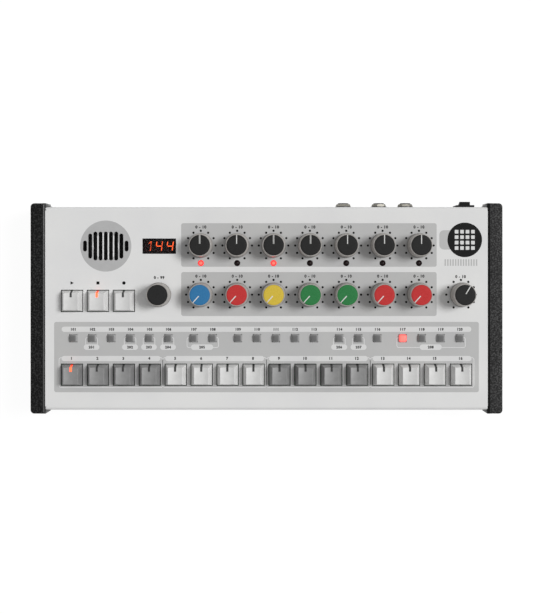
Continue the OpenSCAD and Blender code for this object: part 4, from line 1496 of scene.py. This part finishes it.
@dataclass
class Prints(Assembly):
    """Everything that is printed on the panel, in thin layers, and its rims and end strips."""

    base: float = 50
    zone_top: float = 50.03
    pill_top: float = 50.05
    raised: float = 50.055
    ink_top: float = 50.07
    line: float = 0.45
    zone_boxes: tuple[tuple[Point, Point], ...] = (
        ((-75.2, 36.8), (150, 75.2)), ((-75.2, -6.6), (150, 32.1)),
        ((-187.2, -73.8), (187.2, -11.8)))
    zone_corner: float = 1.9
    lamp_hole: float = 2.7
    key_hole: float = 9.8
    function_hole: float = 3.6
    group_ys: Pair = (-69.9, -43.0)
    group_corner: float = 2.4
    loop_ys: Pair = (-34.6, -25.3)
    loop_corner: float = 1.9
    strip_box: tuple[Point, Point] = ((-180.6, -20.63), (180.6, -15.96))
    pill_ys: Pair = (-36.5, -31.65)
    number_ys: Pair = (-46.4, -41.8)
    number_xs: Pair = (-180.7, -93.6)
    ring: float = 13
    dot: float = 1
    sign: float = 1.3
    sign_y: float = 22.5
    disc: float = 22.5
    eye: float = 11.6
    slot_pitch: float = 4.58
    slot_lengths: tuple[float, ...] = (9.1, 21.6, 25, 25, 25, 25, 25, 21.6, 9.1)
    mark_x: float = 174.8
    mark_y: float = 60.5
    mark_r: float = 15.25
    squares: tuple[float, ...] = (-7.2, -2.4, 2.4, 7.2)
    square: float = 1.6
    blank: tuple[Point, Point] = ((-22.4, -8.5), (-9, 8.5))
    tick_xs: Pair = (157, 158.2)
    tick_ys: Pair = (37.6, 43.4)
    tick_pitch: float = 2.3
    ticks: int = 13
    step_text_y: float = -44.1
    function_text_y: float = -18.5
    pill_text_y: float = -34.2
    knob_text_up: float = 16.2
    data_text_y: float = 27.15
    volume_text: Pair = (171.1, 28)
    rim_shift: float = 0.15
    rim_outer: Pair = (14.75, 6.7)
    rim_inner: Pair = (14.3, 6.4)
    end_inset: float = 3.2
    end_wide: float = 1.5
    end_deep: float = 1.3
    pills: tuple[Pair, ...] = (
        (-161.1, -147.3), (-127.4, -113.3), (-110.6, -96.7), (-93.8, -79.9), (-66.6, -47.0),
        (57.0, 71.1), (74.1, 88.2), (135.1, 154.5))
    loops: tuple[Pair, ...] = (
        (-159.6, -148.9), (-125.6, -114.9), (-108.9, -98.2), (-92.1, -81.5), (-70.3, -42.1),
        (58.8, 69.6), (75.6, 86.4), (114.7, 175.6))

    def lay(self, parts: Iterable[Solid], name: str, ink: str, slot: str = "panel_paint") -> None:
        """Joins films into one piece, inks it and mounts it on the panel."""
        self.rig.mount(Bench.join(parts), name, "top_panel", slot, ink)

    def holes(self, xs: Iterable[float], y: float, half: float) -> Solid:
        """Makes cutters for a row of square openings."""
        return Bench.join([Bench.block((x - half, y - half, self.base - 1),
                                       (x + half, y + half, self.base + 1)) for x in xs])

    def zones(self) -> None:
        """Lays the three grey zones and cuts them where keys and lamps come through."""
        lay, z = self.layout, self.base
        upper, lower, front = [Bench.film(low, high, z, self.zone_top, self.zone_corner)
                               for low, high in self.zone_boxes]
        lamps = [Bench.rod(self.lamp_hole, (lay.column_x(i), lay.lamp_y, z - 1), 2)
                 for i in range(lay.columns)]
        Bench.cut(upper, Bench.join(lamps))
        Bench.cut(front, self.holes(map(lay.key_x, range(lay.steps)), lay.step_y, self.key_hole))
        Bench.cut(front, self.holes(sum(lay.group_xs(), []), lay.function_y, self.function_hole))
        self.lay([upper, lower, front], "grey_zones", "zone_ink")

    def frame_line(self, low: Point, high: Point, corner: float) -> Solid:
        """Lays a thin closed line with round corners.

        Args:
            low: Lowest corner of its outside.
            high: Highest corner of its outside.
            corner: Radius of its corners outside.

        Returns:
            The line as a film.
        """
        wide = self.line
        line = Bench.film(low, high, self.base, self.pill_top, corner)
        hole = Bench.film((low[0] + wide, low[1] + wide), (high[0] - wide, high[1] - wide),
                          self.base - 1, self.base + 1, corner - wide)
        return Bench.cut(line, hole)

    def lines(self) -> None:
        """Lays the lines round the groups of keys and the loops from the pills to their keys."""
        pitch, half = 4 * self.layout.key_pitch, self.line / 2
        (front, rear), (low, high) = self.group_ys, self.loop_ys
        parts = [self.frame_line((k * pitch - half, front), ((k + 1) * pitch + half, rear),
                                 self.group_corner) for k in range(-2, 2)]
        for a, b in self.loops:
            loop = self.frame_line((a, low), (b, high), self.loop_corner)
            parts.append(Bench.cut(loop, Bench.block((a + 2, -29, self.base - 1),
                                                     (b - 2, -24, self.base + 1))))
        self.lay(parts, "panel_lines", "line_ink")

    def strips(self) -> None:
        """Lays the pale strips that carry the figures."""
        pitch = 4 * self.layout.key_pitch
        (low, high), (front, rear), (left, right) = self.pill_ys, self.number_ys, self.number_xs
        boxes = [(*self.strip_box, self.pill_top, 2.3)]
        boxes += [((a, low), (b, high), self.raised, 2.4) for a, b in self.pills]
        boxes += [((left + k * pitch, front), (right + k * pitch, rear), self.raised, 2.25)
                  for k in range(4)]
        films = [Bench.film(low, high, self.base, top, corner) for low, high, top, corner in boxes]
        self.lay(films, "label_strips", "light_ink")

    def dials(self) -> None:
        """Lays eleven dots round each knob that has stops."""
        lay = self.layout
        dot = Bench.rod(self.dot, (0, 0, self.base), self.ink_top - self.base, sides=20)
        spots = [(lay.column_x(i), y) for i in range(lay.columns) for y in (lay.level_y, lay.tone_y)]
        dots = [Bench.twin(dot, (x + self.ring * math.sin(turn), y + self.ring * math.cos(turn), 0))
                for x, y in spots + [(lay.volume_x, lay.tone_y)]
                for turn in (math.radians(30 * step) for step in range(-5, 6))]
        Bench.discard(dot)
        self.lay(dots, "dial_dots", "dark_ink", "black_plastic")

    def figures(self) -> None:
        """Sets plain numbers at the keys and knobs."""
        lay = self.layout
        rows = [(str(i + 1), 2.4, lay.key_x(i) - 0.5, self.step_text_y) for i in range(lay.steps)]
        rows += [(str(i), 2.2, x, self.function_text_y)
                 for i, x in enumerate(sum(lay.group_xs(), []), 101)]
        rows += [(str(i), 2.2, (a + b) / 2, self.pill_text_y)
                 for i, (a, b) in enumerate(self.pills, 201)]
        rows += [("0 - 10", 2.5, lay.column_x(i), y + self.knob_text_up)
                 for i in range(lay.columns) for y in (lay.level_y, lay.tone_y)]
        rows += [("0 - 99", 2.4, lay.data_x, self.data_text_y), ("0 - 10", 2.4, *self.volume_text)]
        words = [Bench.word(text, size, (x, y), self.base, self.ink_top) for text, size, x, y in rows]
        self.lay(words, "panel_figures", "dark_ink", "black_plastic")

    def symbols(self) -> None:
        """Lays the start, stop and record signs over the transport keys."""
        y, z, half, reach = self.sign_y, self.base, self.sign, self.ink_top - self.base
        first, second, third = map(self.layout.key_x, range(3))
        start = Bench.bar([(first - half, y - 1.5, z), (first + 1.5, y, z),
                           (first - half, y + 1.5, z)], (0, 0, reach))
        stop = Bench.film((second - half, y - half), (second + half, y + half), z, self.ink_top, 0.2)
        record = Bench.rod(1.5, (third, y, z), reach)
        self.lay([start, stop, record], "transport_signs", "dark_ink", "black_plastic")

    def grille(self) -> None:
        """Lays the grey disc round the slots of the speaker, and a black rim round each slot as
        painted shade of the slot's walls.
        """
        lay, z = self.layout, self.base
        disc, eye = (Bench.rod(radius, (lay.speaker_x, lay.window_y, z), top - z, sides=96)
                     for radius, top in ((self.disc, self.zone_top), (self.eye, self.pill_top)))
        # The black rims are painted shade at the edges of the slots.
        cutter, rims = self.slots(1.5, z - 1, z + 1), self.slots(1.7, z, self.ink_top)
        for piece, name, ink in ((eye, "middle", "line_ink"), (disc, "disc", "grille_ink")):
            self.lay([Bench.cut(piece, cutter, keep=True)], "grille_" + name, ink)
        self.lay([Bench.cut(rims, cutter)], "grille_rims", "dark_ink", "black_plastic")

    def slots(self, half: float, foot: float, top: float) -> Solid:
        """Makes nine upright bars with round ends, one for each slot of the speaker.

        Args:
            half: Half the width of a bar.
            foot: Height of the underside.
            top: Height of the upper side.

        Returns:
            The bars as one piece.
        """
        bars, y = [], self.layout.window_y
        for i, length in enumerate(self.slot_lengths, -4):
            x, reach = self.layout.speaker_x + i * self.slot_pitch, length / 2 + half - 1.5
            bars.append(Bench.film((x - half, y - reach), (x + half, y + reach), foot, top,
                                   half - 0.001))
        return Bench.join(bars)

    def ends(self) -> None:
        """Squares the left and right ends of the panel with pale strips."""
        half, reach = self.layout.case_w / 2, self.layout.case_d / 2 - self.end_inset
        low, high, wide = self.base - self.end_deep, self.base + 0.01, self.end_wide
        blocks = [Bench.block((x, -reach, low), (x + wide, reach, high)) for x in (half - wide, -half)]
        self.lay(blocks, "panel_ends", "panel_powder_coat")

    def window_rim(self) -> None:
        """Lays the black rim of the display window."""
        x, y = self.layout.data_x + self.rim_shift, self.layout.window_y - self.rim_shift
        z, (wide, high), (w, h) = self.base, self.rim_outer, self.rim_inner
        rim = Bench.film((x - wide, y - high), (x + wide, y + high), z, self.ink_top, 0.4)
        Bench.cut(rim, Bench.block((x - w, y - h, z - 1), (x + w, y + h, z + 1)))
        self.lay([rim], "window_rim", "dark_ink", "black_plastic")

    def mark(self) -> None:
        """Lays a plain dark disc with a grid of pale squares, and a row of ticks below it."""
        x, y, z, half = self.mark_x, self.mark_y, self.base, self.square
        (left, right), (low, high) = self.tick_xs, self.tick_ys
        disc = Bench.rod(self.mark_r, (x, y, z), self.zone_top - z, sides=96)
        squares = [Bench.film((x + dx - half, y + dy - half), (x + dx + half, y + dy + half), z,
                              self.pill_top, 0.3) for dx in self.squares for dy in self.squares]
        ticks = [Bench.film((left + shift, low), (right + shift, high), z, self.pill_top)
                 for shift in (i * self.tick_pitch for i in range(self.ticks))]
        corners = [(x + dx, y + dy) for dx, dy in self.blank]
        ticks.append(Bench.film(*corners, z - 0.01, self.zone_top - 0.01, 4))
        self.lay([disc], "pattern_disc", "disc_ink", "black_plastic")
        self.lay(squares, "pattern_squares", "light_ink")
        self.lay(ticks, "tick_row", "zone_ink")

    def build(self) -> None:
        """Lays every print and mounts it."""
        for step in (self.zones, self.lines, self.strips, self.dials, self.figures, self.symbols,
                     self.grille, self.window_rim, self.ends, self.mark):
            step()


@dataclass
class Fasteners(Assembly):
    """The screws of the base, the cheeks and the board."""

    shanks: tuple[Point, ...] = ((1.5, 4.3), (1.25, 7.6), (1.5, 7.7))
    head: tuple[Point, ...] = ((0, -1.8), (1.6, -1.75), (2.4, -1.4), (2.8, -0.7), (2.8, 0))
    pitch: float = 0.5
    base_z: float = 4
    board_z: float = 34.4
    side_z: float = 25.3
    base_inset: Pair = (20, 6)
    side_inset: Pair = (1.2, 15)
    post_x: float = 11.5
    post_ys: Pair = (2.8, 10.3)

    def screw(self, radius: float, length: float) -> Solid:
        """Shapes a pan-headed screw with a cross recess, its shank along +Z.

        Args:
            radius: Radius of the shank.
            length: Length of the shank.

        Returns:
            The screw, its head below the origin.
        """
        threads, z = [], 0.6
        while z < length - 0.8:
            threads += [(radius, z), (radius - 0.25, z + 0.25)]
            z += self.pitch
        screw = Bench.turned([*self.head, (radius, 0), *threads, (radius, length - 0.6),
                              (0.3, length), (0, length)], 24)
        for x, y in ((1.5, 0.3), (0.3, 1.5)):
            Bench.cut(screw, Bench.block((-x, -y, -3), (x, y, -0.9)))
        return screw

    def build(self) -> None:
        """Builds the 22 screws as one piece and mounts it."""
        lay = self.layout
        wide, deep = lay.case_w / 2, lay.case_d / 2 - lay.sheet
        long, small, side = [self.screw(*shank) for shank in self.shanks]
        (base_x, base_y), (side_x, side_y) = self.base_inset, self.side_inset
        parts = [Bench.twin(long, (x * (wide - base_x), s * (deep - base_y), self.base_z))
                 for x in (-1, -1 / 3, 1 / 3, 1) for s in (-1, 1)]
        edge, middle = lay.volume_x + self.post_x, (lay.tone_y + lay.level_y) / 2
        front = (lay.step_y + lay.function_y) / 2 + self.post_ys[0]
        posts = [(-edge, front), (-edge / 3, front), (edge / 3, front), (edge, front),
                 (-edge, lay.transport_y + self.post_ys[1]),
                 ((lay.data_x + lay.knob_first_x) / 2, middle),
                 (lay.column_x(3) + lay.knob_pitch / 2, middle), (edge, middle)]
        parts += [Bench.twin(small, (x, y, self.board_z)) for x, y in posts]
        parts += [Bench.twin(side, (sign * (wide - side_x), step * (deep - side_y), self.side_z),
                             (0, sign * 90, 0)) for sign in (-1, 1) for step in (-1, 0, 1)]
        self.rig.mount(Bench.polish(Bench.join(parts)), "screws_turned", "screws", "steel", "zinc",
                       instead=True)
        Bench.discard(long, small, side)


@dataclass
class Carried(Assembly):
    """The nodes that keep their own shape and only get a finish."""

    jack_xs: tuple[float, ...] = (69, 101.05, 124.85)
    ring_y: float = 90.1
    ring_thick: float = 0.9
    ring_outer: float = 7.2
    ring_inner: float = 5.2

    def rings(self) -> None:
        """Adds a black shake-proof ring round the foot of each jack nut."""
        rings, z = [], self.layout.socket_z
        for x in self.jack_xs:
            ring = Bench.rod(self.ring_outer, (x, self.ring_y, z), self.ring_thick, "Y", 48)
            bore = Bench.rod(self.ring_inner, (x, self.ring_y - 1.1, z), 3, "Y", 48)
            rings.append(Bench.cut(ring, bore))
        self.rig.mount(Bench.join(rings), "jack_rings", "jack_nuts", "black_plastic", "switch_black")

    def build(self) -> None:
        """Paints each of them and adds the rings."""
        finishes = {
            "top_panel": "panel_powder_coat", "base_tray": "tray_powder_coat",
            "rubber_feet": "foot_rubber", "display_window": "smoked_pane",
            "display_module": "black_plastic", "loudspeaker": "speaker_black",
            "control_board": "board_mask", "potentiometers": "zinc",
            "key_switches": "switch_black", "jack_sockets": "black_plastic",
            "jack_nuts": "nut_nickel", "midi_sockets": "black_plastic", "usb_port": "nickel",
            "power_inlet": "black_plastic", "rocker_housing": "rocker_black",
            "power_rocker": "rocker_black",
        }
        for node, finish in finishes.items():
            self.rig.paint(node, finish)
        self.rings()


def main() -> None:
    """Builds the machine around its frame."""
    logging.basicConfig(level=logging.INFO, format="%(name)s: %(message)s")
    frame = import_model()
    stage = Stage()
    stage.camera()
    stage.lamps()
    stage.floor()
    bpy.context.scene.view_settings.view_transform = "Standard"
    rig, layout = Rig(frame, paints()), Layout()
    for family in (Carried, Cheeks, Knobs, KeyCaps, FunctionKeys, Lamps, Digits, Prints, Fasteners):
        family(layout, rig).build()


if __name__ == "__main__":
    main()
